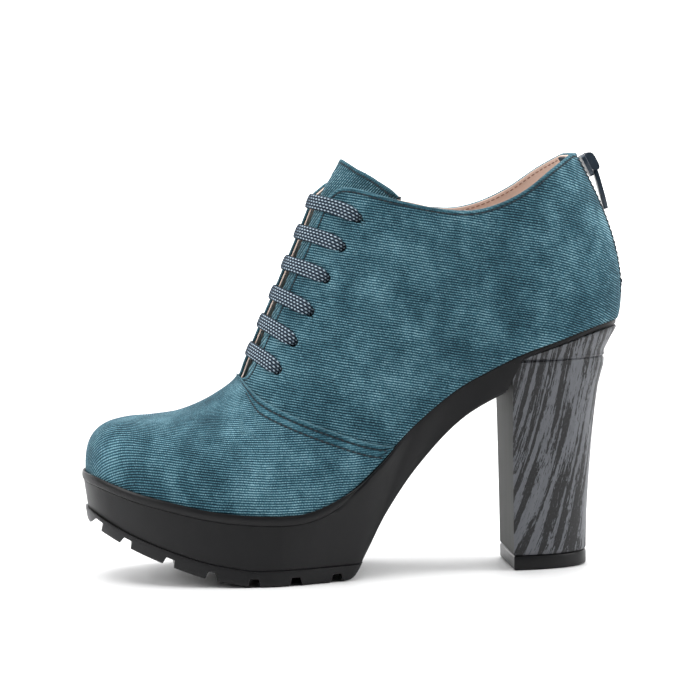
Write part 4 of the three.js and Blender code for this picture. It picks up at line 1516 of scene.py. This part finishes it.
@dataclass
class Laces:
    """The flat lace in bars across the throat."""

    rings: int = 56
    corners: int = 16
    dive: float = 3.2

    def spine(self, index: int) -> Line:
        """Points and normals of one bar, from hole to hole."""
        u, phi, slant = eyelet(index)
        found = []
        foot = math.sin(phi)
        for s in spread(self.rings, -1, 1):
            angle = lerp(phi, QUARTER_TURN - 0.02, 1 - abs(s) ** 1.25)
            rise = ((math.sin(angle) - foot) / (1 - foot)) ** 1.12 if angle > phi else 0.0
            place = (lerp(u, u - slant, rise), angle, -1 if s < 0 else 1)
            normal = LAST_FORM.normal(*place)
            if abs(s) < 0.12:
                share = smooth(abs(s), 0.0, 0.12)
                normal = Vector((normal.x, normal.y * share, normal.z)).normalized()
            sink = smooth(abs(s), 0.945, 1.0)
            lift = lerp(SIZE.gap + SIZE.lace_thickness / 2, -self.dive, sink)
            found.append((LAST_FORM.point(*place) + normal * lift, normal))
        return found

    def bar(self, index: int) -> None:
        """One bar of the lace."""
        spine = self.spine(index)
        maker = Maker()
        run = [0.0]
        for (a, _), (b, _) in zip(spine, spine[1:]):
            run.append(run[-1] + (b - a).length)

        def place(k: int, j: int) -> Placed:
            """Point on the lace's skin."""
            centre, normal = spine[k]
            ahead = spine[min(k + 1, self.rings)][0] - spine[max(k - 1, 0)][0]
            across = ahead.cross(normal).normalized()
            up = across.cross(ahead).normalized()
            s = abs(2 * k / self.rings - 1)
            half = SIZE.lace_width / 2 * lerp(1.0, 0.68, smooth(s, 0.90, 1.0))
            thick = SIZE.lace_thickness / 2 * lerp(1.0, 1.15, smooth(s, 0.90, 1.0))
            turn = 2 * math.pi * j / self.corners
            c, d = math.cos(turn), math.sin(turn)
            wide = math.copysign(abs(c) ** 0.75, c) * half
            high = math.copysign(abs(d) ** 0.8, d) * thick
            return centre + across * wide + up * high, run[k], wide, s

        table = maker.grid(self.rings, self.corners, place)
        for end in (0, -1):
            maker.bm.faces.new([v for v in table[end][:-1]])
        maker.weld()
        maker.publish(f"lace_{index + 1}", (Braid(),), "lace", (f"lace_bar_{index + 1}",), flat_angle=70)

    def build(self) -> None:
        """Builds every bar."""
        for index in range(EYELETS):
            self.bar(index)


# --------------------------------------------------------------------------
# Sole


@dataclass
class Sole:
    """The platform with its rim bead and arch, the lugged outsole and the insole."""

    stations: int = 190
    end: float = 0.588

    def section(self, u: float, side: int) -> tuple[Vector, Vector, float, float, float]:
        """Feather point, outward direction, bead share, inner and outer rim offsets."""
        edge, out = LAST_FORM.feather(u, side), LAST_FORM.outward(u, side)
        rim = 1 - smooth(u, 0.53, 0.61)
        inner = lerp(-2 * SIZE.gap, SIZE.lap + SIZE.gap, rim)
        outer = lerp(-2 * SIZE.gap, SIZE.rim, rim)
        return edge, out, 1 - smooth(u, 0.45, 0.53), inner, outer

    def wall_ends(self, u: float, side: int, grow: float = 0.0) -> tuple[Vector, Vector, Vector]:
        """Top and foot of the side wall and the direction out of it."""
        edge, out, bead, _, outer = self.section(u, side)
        row = SOLE.at(u)
        foot = edge + out * (row["edge"] * SIZE.rim + grow)
        foot.x = row["x"] * SIZE.length + out.x * grow
        foot.z = SIZE.toe_lift * row["lift"] + SIZE.heel_rise * row["arch"]
        waist = edge + out * (outer - 0.7 * bead + grow)
        waist.z = edge.z - SIZE.gap - 1.6 * SIZE.bead - 0.5 * bead
        return waist, foot, out

    def line_height(self, u: float) -> float:
        """Height of the joint between the platform and the outsole."""
        return SIZE.toe_lift * SOLE.at(u)["lift"] + SIZE.outsole

    def platform_ring(self, u: float, side: int) -> list[Vector]:
        """Points from the top of the platform down to its lower edge."""
        edge, out, bead, inner, outer = self.section(u, side)
        waist, foot, _ = self.wall_ends(u, side)
        ring = []

        def at(offset: float, drop: float) -> Vector:
            """Point beside the feather line."""
            point = edge + out * offset
            point.z = edge.z - SIZE.gap + drop
            return point

        ring.append(at(inner - 3.0, 0.0))
        middle, half = (inner + outer) / 2, (outer - inner) / 2
        for turn in spread(9, 180, -70):
            c, s = math.cos(math.radians(turn)), math.sin(math.radians(turn))
            ring.append(at(middle + half * c,
                           (-0.35 + 1.35 * s) * SIZE.bead * bead - 0.25 * (1 - s) * (1 - bead)))
        ring.append(at(outer - 0.85 * bead, -1.9 * SIZE.bead * bead - 1.2 * (1 - bead)))
        ring.append(waist)
        low = max(self.line_height(u) if u < self.end else -1.0, foot.z)
        rounding = 0.0 if low > foot.z + 0.5 else 1.2
        share = (waist.z - low) / max(waist.z - foot.z, 1e-3)
        base = waist.lerp(foot, share)
        for s in spread(8, 0.08, 0.9):
            ring.append(waist.lerp(base, s))
        if rounding:
            ring.append(base + Vector((0, 0, rounding)))
            ring.append(base - out * 0.35 * rounding + Vector((0, 0, 0.35 * rounding)))
            ring.append(base - out * rounding)
        else:
            ring.append(waist.lerp(base, 0.97))
            ring.append(base)
            ring.append(base - out * 1.2)
        return ring

    def loft(self, maker: Maker, ring: Callable[[float, int], list[Vector]],
             stations: Sequence[float]) -> None:
        """Closed body from rings down both sides, bridged above and below."""
        tables = []
        for side in SIDES:
            rings = [ring(u, side) for u in stations]
            tables.append(maker.grid(len(stations) - 1, len(rings[0]) - 1,
                                     lambda k, j, r=rings: (r[k][j], 0.0, 0.0, 99.0)))
        near, far = tables
        maker.bridge([c[0] for c in near], [c[0] for c in far])
        maker.bridge([c[-1] for c in near], [c[-1] for c in far])
        for end in (0, -1):
            maker.bridge(near[end], far[end])
        maker.weld(0.01)

    def platform(self) -> None:
        """The platform, the arch and the seat layer over the heel."""
        maker = Maker()
        rings = {}
        for side in SIDES:
            for u in spread(self.stations, 0, 1):
                ring = self.platform_ring(u, side)
                if ring[-1].x > SIZE.breast - 1.5:
                    for i, point in enumerate(ring):
                        seat = LAST_FORM.feather(u, side).z - SIZE.seat_layer - SIZE.gap
                        if point.z < seat:
                            share = smooth(point.x, SIZE.breast - 1.4, SIZE.breast - 0.2)
                            ring[i] = Vector((point.x, point.y, lerp(point.z, seat, share)))
                rings[u, side] = ring
        self.loft(maker, lambda u, side: rings[u, side], spread(self.stations, 0, 1))
        maker.publish("platform_rubber", (Rubber(),), "sole_rubber", ("platform_sole",), flat_angle=35)

    def outsole_ring(self, u: float, side: int) -> list[Vector]:
        """Points from the joint down round the tread's edge."""
        waist, foot, out = self.wall_ends(u, side)
        line = max(self.line_height(u) - 0.15, foot.z + 0.05)
        top = waist.lerp(foot, (waist.z - line) / max(waist.z - foot.z, 1e-3))
        grow = 1.4 * SIZE.ledge * smooth(line - foot.z, 0.0, 3.0)
        low = foot + out * grow
        high = top + out * grow
        fall = low - high
        edge = min(0.5, 0.3 * (line - foot.z))
        drop = min(0.9, 0.4 * (line - foot.z))
        return [
            top - out * 3.0,
            high - out * edge,
            high - out * 0.13 * edge + Vector((0, 0, -0.13 * edge)),
            high + Vector((0, 0, -edge)),
            high + fall * 0.35,
            high + fall * 0.7,
            low + Vector((0, 0, drop)),
            low - out * 0.3 * drop + Vector((0, 0, 0.3 * drop)),
            low - out * drop,
            low - out * 5.0,
        ]

    def outsole(self) -> None:
        """The tread, with its lugs cut free."""
        maker = Maker()
        self.loft(maker, self.outsole_ring, spread(130, 0, self.end))
        piece = maker.publish("outsole_rubber", (Rubber(),), "sole_rubber", ("outsole",), flat_angle=35)
        cut(piece, self.slots())
        for polygon in piece.data.polygons:
            polygon.use_smooth = True
        piece.data.set_sharp_from_angle(angle=math.radians(32))

    def slots(self) -> Maker:
        """Wedges between the lugs."""
        maker = Maker()
        places = [SIZE.lug_toe, *(SIZE.lug_first + i * SIZE.lug_pitch for i in range(6))]
        for x in places:
            floor, slope = self.floor(x), (self.floor(x + 1) - self.floor(x - 1)) / 2
            turn = Matrix.Rotation(-math.atan(slope), 4, "Y")
            made = bmesh.ops.create_cube(maker.bm, size=1.0)["verts"]
            for vert in made:
                half = SIZE.lug_slot / 2 - SIZE.lug_draft * (1 if vert.co.z > 0 else -1)
                spot = Vector((math.copysign(half, vert.co.x), vert.co.y * 140,
                               math.copysign(SIZE.lug_depth, vert.co.z)))
                vert.co = turn @ spot + Vector((x, 0, floor))
        return maker

    def floor(self, x: float) -> float:
        """Height of the tread at a length."""
        for u in spread(200, 0, 0.6):
            if SOLE.at(u)["x"] * SIZE.length >= x:
                return SIZE.toe_lift * SOLE.at(u)["lift"]
        return 0.0

    def insole(self) -> None:
        """The padded sock on the inside, dished between its edges."""
        maker = Maker()
        inset = SIZE.wall + 2 * SIZE.gap
        stations = spread(110, 0.012, 0.988)

        def place(k: int, j: int) -> Placed:
            """Point on the sock's top."""
            u, share = stations[k], j / 24
            ends = [LAST_FORM.feather(u, side) - LAST_FORM.outward(u, side) * inset for side in SIDES]
            point = ends[0].lerp(ends[1], share)
            bow = 1 - abs(2 * share - 1) ** 3
            point.z += SIZE.insole - 0.9 * bow
            return point, point.x, point.y, 99.0

        maker.grid(len(stations) - 1, 24, place)
        maker.weld()
        for face in maker.bm.faces:
            if face.normal.z < 0:
                face.normal_flip()
        piece = maker.publish("insole_sock", (Lining(),), "lining", ("insole",))
        thicken(piece, SIZE.insole - 1.2)

    def build(self) -> None:
        """Builds the sole."""
        self.platform()
        self.outsole()
        self.insole()


# --------------------------------------------------------------------------
# Heel


@dataclass
class HeelBlock:
    """The flared block with its groove, print and top piece."""

    rings: int = 44
    corners: int = 30
    slant: float = 0.55
    plan: float = 2.6
    groove_at: float = 0.838
    groove_height: float = 87.1

    def seat(self, x: float) -> float:
        """Height of the feather line at a length."""
        for u in spread(300, 0.6, 1.0):
            if LAST.at(u)["x"] * SIZE.length >= x:
                return LAST_FORM.feather(u, -1).z
        return LAST_FORM.feather(1.0, -1).z

    def heights(self) -> list[float]:
        """Shares of the height, close at the groove and at the ends."""
        return [0.0, 0.004, 0.012, *spread(18, 0.03, 0.80), 0.822, 0.830,
                0.8345, 0.838, 0.8415, 0.8455, 0.851,
                0.8565, 0.860, *spread(9, 0.875, 0.985), 0.993, 1.0]

    def ring(self, t: float, side: int, inset: float, top: Callable[[float], float]) -> list[Vector]:
        """Half outline of the block at a share of its height."""
        row = HEEL.at(t)
        foot_back = SIZE.breast + SIZE.heel_foot
        seat_back = LAST_FORM.feather(1.0, -1).x - SIZE.gap
        back = lerp(foot_back, seat_back, row["back"]) - inset
        half = lerp(SIZE.heel_bottom, SIZE.heel_top, row["half"]) / 2 - inset
        points = []
        for i in range(self.corners + 1):
            share = math.sin(QUARTER_TURN * i / self.corners) ** 0.9
            wide = max(0.0, 1 - share**self.plan) ** (1 / 2.1)
            x = SIZE.breast + inset * (1 - share) * 0.6 + (back - SIZE.breast) * share
            points.append(Vector((x, side * half * wide, top(x))))
        return points

    def build(self) -> None:
        """Builds the block and the top piece."""
        low = SIZE.top_piece + SIZE.gap
        heights = self.heights()
        maker = Maker()
        tables = []
        seats: dict[float, float] = {}

        def height(x: float, t: float) -> float:
            """Height of a ring at a length: level at the groove, then up to the seat."""
            key = round(x, 1)
            if key not in seats:
                seats[key] = self.seat(x)
            top = seats[key] - SIZE.seat_layer - 2 * SIZE.gap - 0.4 * smooth(x, SIZE.breast, SIZE.length)
            level = min(self.groove_height, top - 0.4)
            if t < self.groove_at:
                return lerp(low, level, t / self.groove_at)
            return lerp(level, top, (t - self.groove_at) / (1 - self.groove_at))

        for side in SIDES:
            rings = []
            for t in heights:
                inset = 1.3 * SIZE.groove * max(0.0, 1 - abs(t - self.groove_at) / 0.0075)
                inset -= 0.35 * max(0.0, 1 - abs(t - self.groove_at - 0.013) / 0.008)
                inset += 0.5 * (1 - smooth(t, 0.0, 0.008)) ** 2 + 0.7 * smooth(t, 0.988, 1.0) ** 2
                rings.append(self.ring(t, side, inset, lambda x, t=t: height(x, t)))

            def place(k: int, j: int, r: list[list[Vector]] = rings, s: int = side) -> Placed:
                """Point on the block with its print coordinates."""
                point = r[j][k]
                round_back = (point.x - SIZE.breast) + 8.0 * (k / self.corners) ** 3
                lean = self.slant * math.exp(-round_back / 26.0) + 0.14
                return point, s * (round_back - point.z * lean) + 400.0, point.z, 99.0

            tables.append(maker.grid(self.corners, len(heights) - 1, place))
        near, far = tables
        maker.bridge([c[0] for c in near], [c[0] for c in far])
        maker.bridge([c[-1] for c in near], [c[-1] for c in far])
        maker.bridge(near[0], far[0])
        maker.weld(0.003)
        for face in maker.bm.faces:
            if face.normal.x < -0.95:
                face.material_index = 1
        maker.publish("heel_block", (HeelPrint(), BreastFilm()), "heel_block", ("heel",), flat_angle=40)
        self.top_piece()

    def top_piece(self) -> None:
        """The rubber layer that the heel stands on."""
        maker = Maker()
        levels = ((0.0, 0.7), (0.25, 0.2), (0.8, 0.0), (2.9, 0.0), (5.0, 0.0), (5.55, 0.2),
                  (SIZE.top_piece, 0.6))
        tables = []
        for side in SIDES:
            rings = [self.ring(0.0, side, inset, lambda x, z=z: z) for z, inset in levels]
            tables.append(maker.grid(self.corners, len(levels) - 1,
                                     lambda k, j, r=rings: (r[j][k], 0.0, 0.0, 99.0)))
        near, far = tables
        maker.bridge([c[0] for c in near], [c[0] for c in far])
        maker.bridge([c[-1] for c in near], [c[-1] for c in far])
        maker.bridge(near[0], far[0])
        maker.weld(0.003)
        maker.publish("heel_tip", (Rubber(),), "sole_rubber", ("top_piece",), flat_angle=35)


# --------------------------------------------------------------------------
# Zip


@dataclass
class Zip:
    """The closed zip up the back, with its slider and swinging pull."""

    teeth: int = 50
    slider_angle: float = 61.0
    slider_length: float = 10.0
    slider_width: float = 8.4
    plate: float = 1.8
    pin: float = 0.8
    pin_up: float = 1.5
    pull_length: float = 22.0
    pull_width: float = 5.2
    pull_lean: float = 12.0

    def back_frame(self, phi: float, grow: float) -> Matrix:
        """Frame on the back line: x out, y across, z up the back."""
        out = LAST_FORM.normal(1.0, phi, -1)
        out = Vector((out.x, 0, out.z)).normalized()
        up = Vector((-out.z, 0, out.x))
        turn = Matrix((out, Vector((0, 1, 0)), up)).transposed().to_4x4()
        return Matrix.Translation(LAST_FORM.point(1.0, phi, -1) + out * grow) @ turn

    def angles(self, low: float, high: float, count: int) -> list[float]:
        """Angles of evenly spaced heights on the back line."""
        column = Column(1.0, -1, 0.0, QUARTER_TURN)
        arcs = []
        for wanted in (low, high):
            arcs.append(min(column.arcs, key=lambda a: abs(column.point(a).z - wanted)))
        return [column.phi(a) for a in spread(count, arcs[0], arcs[1])]

    def tape(self, low: float, high: float) -> None:
        """The woven tape behind the slot."""
        maker = Maker()
        angles = self.angles(low, high, 50)

        def place(k: int, j: int) -> Placed:
            """Point on the tape."""
            away = lerp(-SIZE.zip_tape / 2, SIZE.zip_tape / 2, k / 20)
            height = LAST_FORM.point(1.0, angles[j], -1).z
            side = -1 if away < 0 else 1
            u, phi = back_point(height, abs(away), side)
            return LAST_FORM.grown(u, phi, side, -SIZE.wall - SIZE.gap), away, height, 99.0

        maker.grid(20, 50, place)
        maker.weld(0.01)
        piece = maker.publish("zip_tape_cloth", (ZipCloth(),), "zip_cloth", ("zip_tape",))
        thicken(piece, 0.9)

    def chain(self, low: float, high: float) -> None:
        """The closed teeth, in two rows that mesh."""
        maker = Maker()
        for i, phi in enumerate(self.angles(low, high, self.teeth)):
            side = 1 if i % 2 else -1
            frame = self.back_frame(phi, -0.55)
            maker.block(1.5, 3.4, 1.05, 0.25, frame @ Matrix.Translation((0, side * 0.75, 0)))
            maker.block(1.0, 1.3, 0.8, 0.2, frame @ Matrix.Translation((-0.1, -side * 1.55, 0)))
        for side in SIDES:
            for phi in self.angles(low, high, 54):
                frame = self.back_frame(phi, -1.1)
                maker.block(1.3, 1.5, 1.2, 0.3, frame @ Matrix.Translation((0, side * 2.7, 0)))
        stop = self.back_frame(self.angles(low, high, 40)[1], -0.2)
        maker.block(1.7, 4.6, 1.7, 0.4, stop)
        maker.publish("zip_teeth", (Enamel(),), "zip_metal", ("zip_chain",))

    def slider(self) -> Matrix:
        """The slider's body with its bridge and pin.

        Returns:
            The slider's frame.
        """
        frame = self.back_frame(math.radians(self.slider_angle), 0.0)
        maker = Maker()
        foot = SIZE.zip_proud + SIZE.gap
        made = bmesh.ops.create_cube(maker.bm, size=1.0)["verts"]
        for vert in made:
            wide = self.slider_width / 2 * (1.0 if vert.co.z > 0 else 0.72)
            vert.co = Vector((foot + self.plate * (vert.co.x + 0.5), math.copysign(wide, vert.co.y),
                              vert.co.z * self.slider_length))
        upright = [e for e in maker.bm.edges if abs((e.verts[0].co - e.verts[1].co).x) > 1]
        bmesh.ops.bevel(maker.bm, geom=upright, offset=2.2, offset_type="OFFSET", affect="EDGES",
                        segments=4, profile=0.5, material=-1, clamp_overlap=True)
        rim = [e for e in maker.bm.edges if all(abs(v.co.x - foot - self.plate) < 1e-3 for v in e.verts)]
        bmesh.ops.bevel(maker.bm, geom=rim, offset=0.45, offset_type="OFFSET", affect="EDGES",
                        segments=3, profile=0.5, material=-1, clamp_overlap=True)
        out = foot + self.plate + 3 * self.pin
        self.bridge(maker, foot + self.plate, out)
        bmesh.ops.transform(maker.bm, matrix=frame, verts=maker.bm.verts[:])
        maker.publish("slider_body", (Enamel(),), "zip_metal", ("zip_slider",))
        return frame @ Matrix.Translation((out, 0, self.pin_up))

    def bridge(self, maker: Maker, base: float, out: float) -> None:
        """Two rounded cheeks that hold the pin, and the pin."""
        for side in SIDES:
            made = bmesh.ops.create_circle(maker.bm, cap_ends=True, segments=24, radius=1.0)["verts"]
            for vert in made:
                x, z = (math.copysign(abs(c) ** 0.6, c) for c in vert.co.xy)
                vert.co = Vector((base - 0.3 + (out - base + 1.6) * (0.5 + 0.5 * x), side * 1.6,
                                  self.pin_up - 0.4 + (3.6 if z > 0 else 4.6) * z - 0.5 * x))
            face = [f for f in maker.bm.faces
                    if len(f.verts) == 24 and abs(f.calc_center_median().y - side * 1.6) < 1e-4]
            grown = bmesh.ops.extrude_face_region(maker.bm, geom=face)["geom"]
            bmesh.ops.translate(maker.bm, vec=(0, side * 1.2, 0),
                                verts=[g for g in grown if isinstance(g, bmesh.types.BMVert)])
        turn = Matrix.Translation((out, 0, self.pin_up)) @ Matrix.Rotation(QUARTER_TURN, 4, "X")
        bmesh.ops.create_cone(maker.bm, cap_ends=True, segments=16, radius1=self.pin, radius2=self.pin,
                              depth=4.6, matrix=turn)
        bmesh.ops.recalc_face_normals(maker.bm, faces=maker.bm.faces[:])

    def pull(self, pin: Matrix) -> None:
        """The tab that swings on the pin."""
        maker = Maker()
        eye = bmesh.ops.create_cone(maker.bm, cap_ends=True, segments=20, radius1=1.6, radius2=1.6, depth=2.6,
                                    matrix=Matrix.Rotation(QUARTER_TURN, 4, "X"))["verts"]
        rims = list({e for v in eye for e in v.link_edges if e.calc_face_angle(0) > 1})
        bmesh.ops.bevel(maker.bm, geom=rims, offset=0.3, offset_type="OFFSET", affect="EDGES",
                        segments=2, profile=0.5, material=-1)
        made = bmesh.ops.create_circle(maker.bm, cap_ends=True, segments=48, radius=1.0)["verts"]
        for vert in made:
            x, z = vert.co.x, vert.co.y
            share = (1 - z) / 2
            wide = lerp(1.3, self.pull_width / 2, smooth(share, 0.08, 0.3)) - 0.5 * smooth(share, 0.8, 1.0)
            squared = math.copysign(abs(x) ** 0.45, x)
            vert.co = Vector((-0.9, squared * wide, -self.pull_length * (share ** 0.9) * 0.97 - 0.6))
        face = [f for f in maker.bm.faces if len(f.verts) == 48]
        grown = bmesh.ops.extrude_face_region(maker.bm, geom=face)["geom"]
        bmesh.ops.translate(maker.bm, vec=(1.8, 0, 0),
                            verts=[g for g in grown if isinstance(g, bmesh.types.BMVert)])
        rims = [e for e in maker.bm.edges if e.calc_face_angle(0) > 1 and min(v.co.z for v in e.verts) < -1.5]
        bmesh.ops.bevel(maker.bm, geom=rims, offset=0.35, offset_type="OFFSET", affect="EDGES",
                        segments=2, profile=0.5, material=-1, clamp_overlap=True)
        bmesh.ops.recalc_face_normals(maker.bm, faces=maker.bm.faces[:])
        lean = Matrix.Rotation(math.radians(self.pull_lean), 4, "Y")
        bmesh.ops.transform(maker.bm, matrix=pin @ lean, verts=maker.bm.verts[:])
        maker.publish("pull_tab", (Enamel(),), "zip_metal", ("zip_pull",), Carrier.PULL)

    def build(self) -> None:
        """Builds the zip."""
        high = side_point(COLLAR.at(1.0), SIZE.heel_height)[1]
        low = high - SIZE.zip_length
        self.tape(low - 2 * SIZE.wall, high - 1.2)
        self.chain(low + 1.0, high - SIZE.wall)
        self.pull(self.slider())


# --------------------------------------------------------------------------
# Studio


@dataclass
class Studio:
    """The floor, the light and the camera at the photograph's angle."""

    azimuth: float = -5.0
    elevation: float = 4.1
    roll: float = -1.2
    distance: float = 1.210
    target: tuple[float, float, float] = (-0.0011, 0.0001, 0.0917)
    lens: float = 149.35

    def camera(self) -> None:
        """The camera."""
        a, e, r = (math.radians(v) for v in (self.azimuth, self.elevation, self.roll))
        back = Vector((math.sin(a) * math.cos(e), -math.cos(a) * math.cos(e), math.sin(e)))
        right = (-back).cross(Vector((0, 0, 1))).normalized()
        up = right.cross(-back)
        turned = Matrix((math.cos(r) * right + math.sin(r) * up,
                         -math.sin(r) * right + math.cos(r) * up, back))
        data = bpy.data.cameras.new("camera")
        data.lens, data.sensor_width = self.lens, 36.0
        data.clip_start, data.clip_end = 0.05, 50.0
        camera = bpy.data.objects.new("camera", data)
        place = Vector(self.target) + back * self.distance
        camera.matrix_world = Matrix.Translation(place) @ turned.transposed().to_4x4()
        bpy.context.scene.collection.objects.link(camera)
        bpy.context.scene.camera = camera

    def lamp(self, name: str, place: tuple[float, float, float], power: float, size: float,
             aim: tuple[float, float, float] = (0.0, 0.0, 0.08)) -> None:
        """A soft square lamp."""
        data = bpy.data.lights.new(name, "AREA")
        data.energy, data.size = power, size
        lamp = bpy.data.objects.new(name, data)
        lamp.location = place
        lamp.rotation_mode = "QUATERNION"
        lamp.rotation_quaternion = (Vector(aim) - Vector(place)).to_track_quat("-Z", "Y")
        bpy.context.scene.collection.objects.link(lamp)

    def sheet(self, name: str, finish: object, size: float, matrix: Matrix) -> None:
        """A plain sheet of the studio."""
        bm = bmesh.new()
        bmesh.ops.create_grid(bm, x_segments=12, y_segments=12, size=size, matrix=matrix)
        mesh = bpy.data.meshes.new(name)
        bm.to_mesh(mesh)
        bm.free()
        mesh.materials.append(FINISHES.of(finish))
        sheet = bpy.data.objects.new(name, mesh)
        bpy.context.scene.collection.objects.link(sheet)
        sheet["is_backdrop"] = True

    def build(self) -> None:
        """Sets the studio up."""
        world = bpy.data.worlds.new("studio")
        world.use_nodes = True
        world.node_tree.nodes["Background"].inputs[0].default_value = (0.95, 0.98, 1.0, 1.0)
        world.node_tree.nodes["Background"].inputs[1].default_value = 0.15
        bpy.context.scene.world = world
        bpy.context.scene.view_settings.view_transform = "Standard"
        self.sheet("floor", PaleFloor(), 2.6, Matrix.Translation((0, -1.2, -0.0002)))
        self.sheet("backdrop", Backdrop(), 2.6,
                   Matrix.Translation((0, 1.3, 1.5)) @ Matrix.Rotation(QUARTER_TURN, 4, "X"))
        self.lamp("overhead", (-0.1, 0.0, 3.4), 166.0, 3.4)
        self.lamp("left", (-1.3, -0.35, 0.85), 15.0, 0.8)
        self.lamp("right", (1.4, -0.3, 0.8), 17.0, 0.8)
        self.camera()


def corners(box: tuple[Vector, Vector]) -> list[list[float]]:
    """A box as plain lists."""
    return [list(box[0]), list(box[1])]


def main() -> None:
    """Builds the dressed shoe."""
    logging.basicConfig(level=logging.INFO, format="%(message)s")
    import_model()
    cad_box = corners(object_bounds())
    PLACEMENT.read()
    Studio().build()
    for part in (Upper(), Tongue(), Laces(), Sole(), HeelBlock(), Zip()):
        part.build()
        LOG.info("built %s", type(part).__name__)
    sizes = {"cad": cad_box, "visual": corners(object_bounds())}
    LOG.info("sizes %s", sizes)


if __name__ == "__main__":
    main()
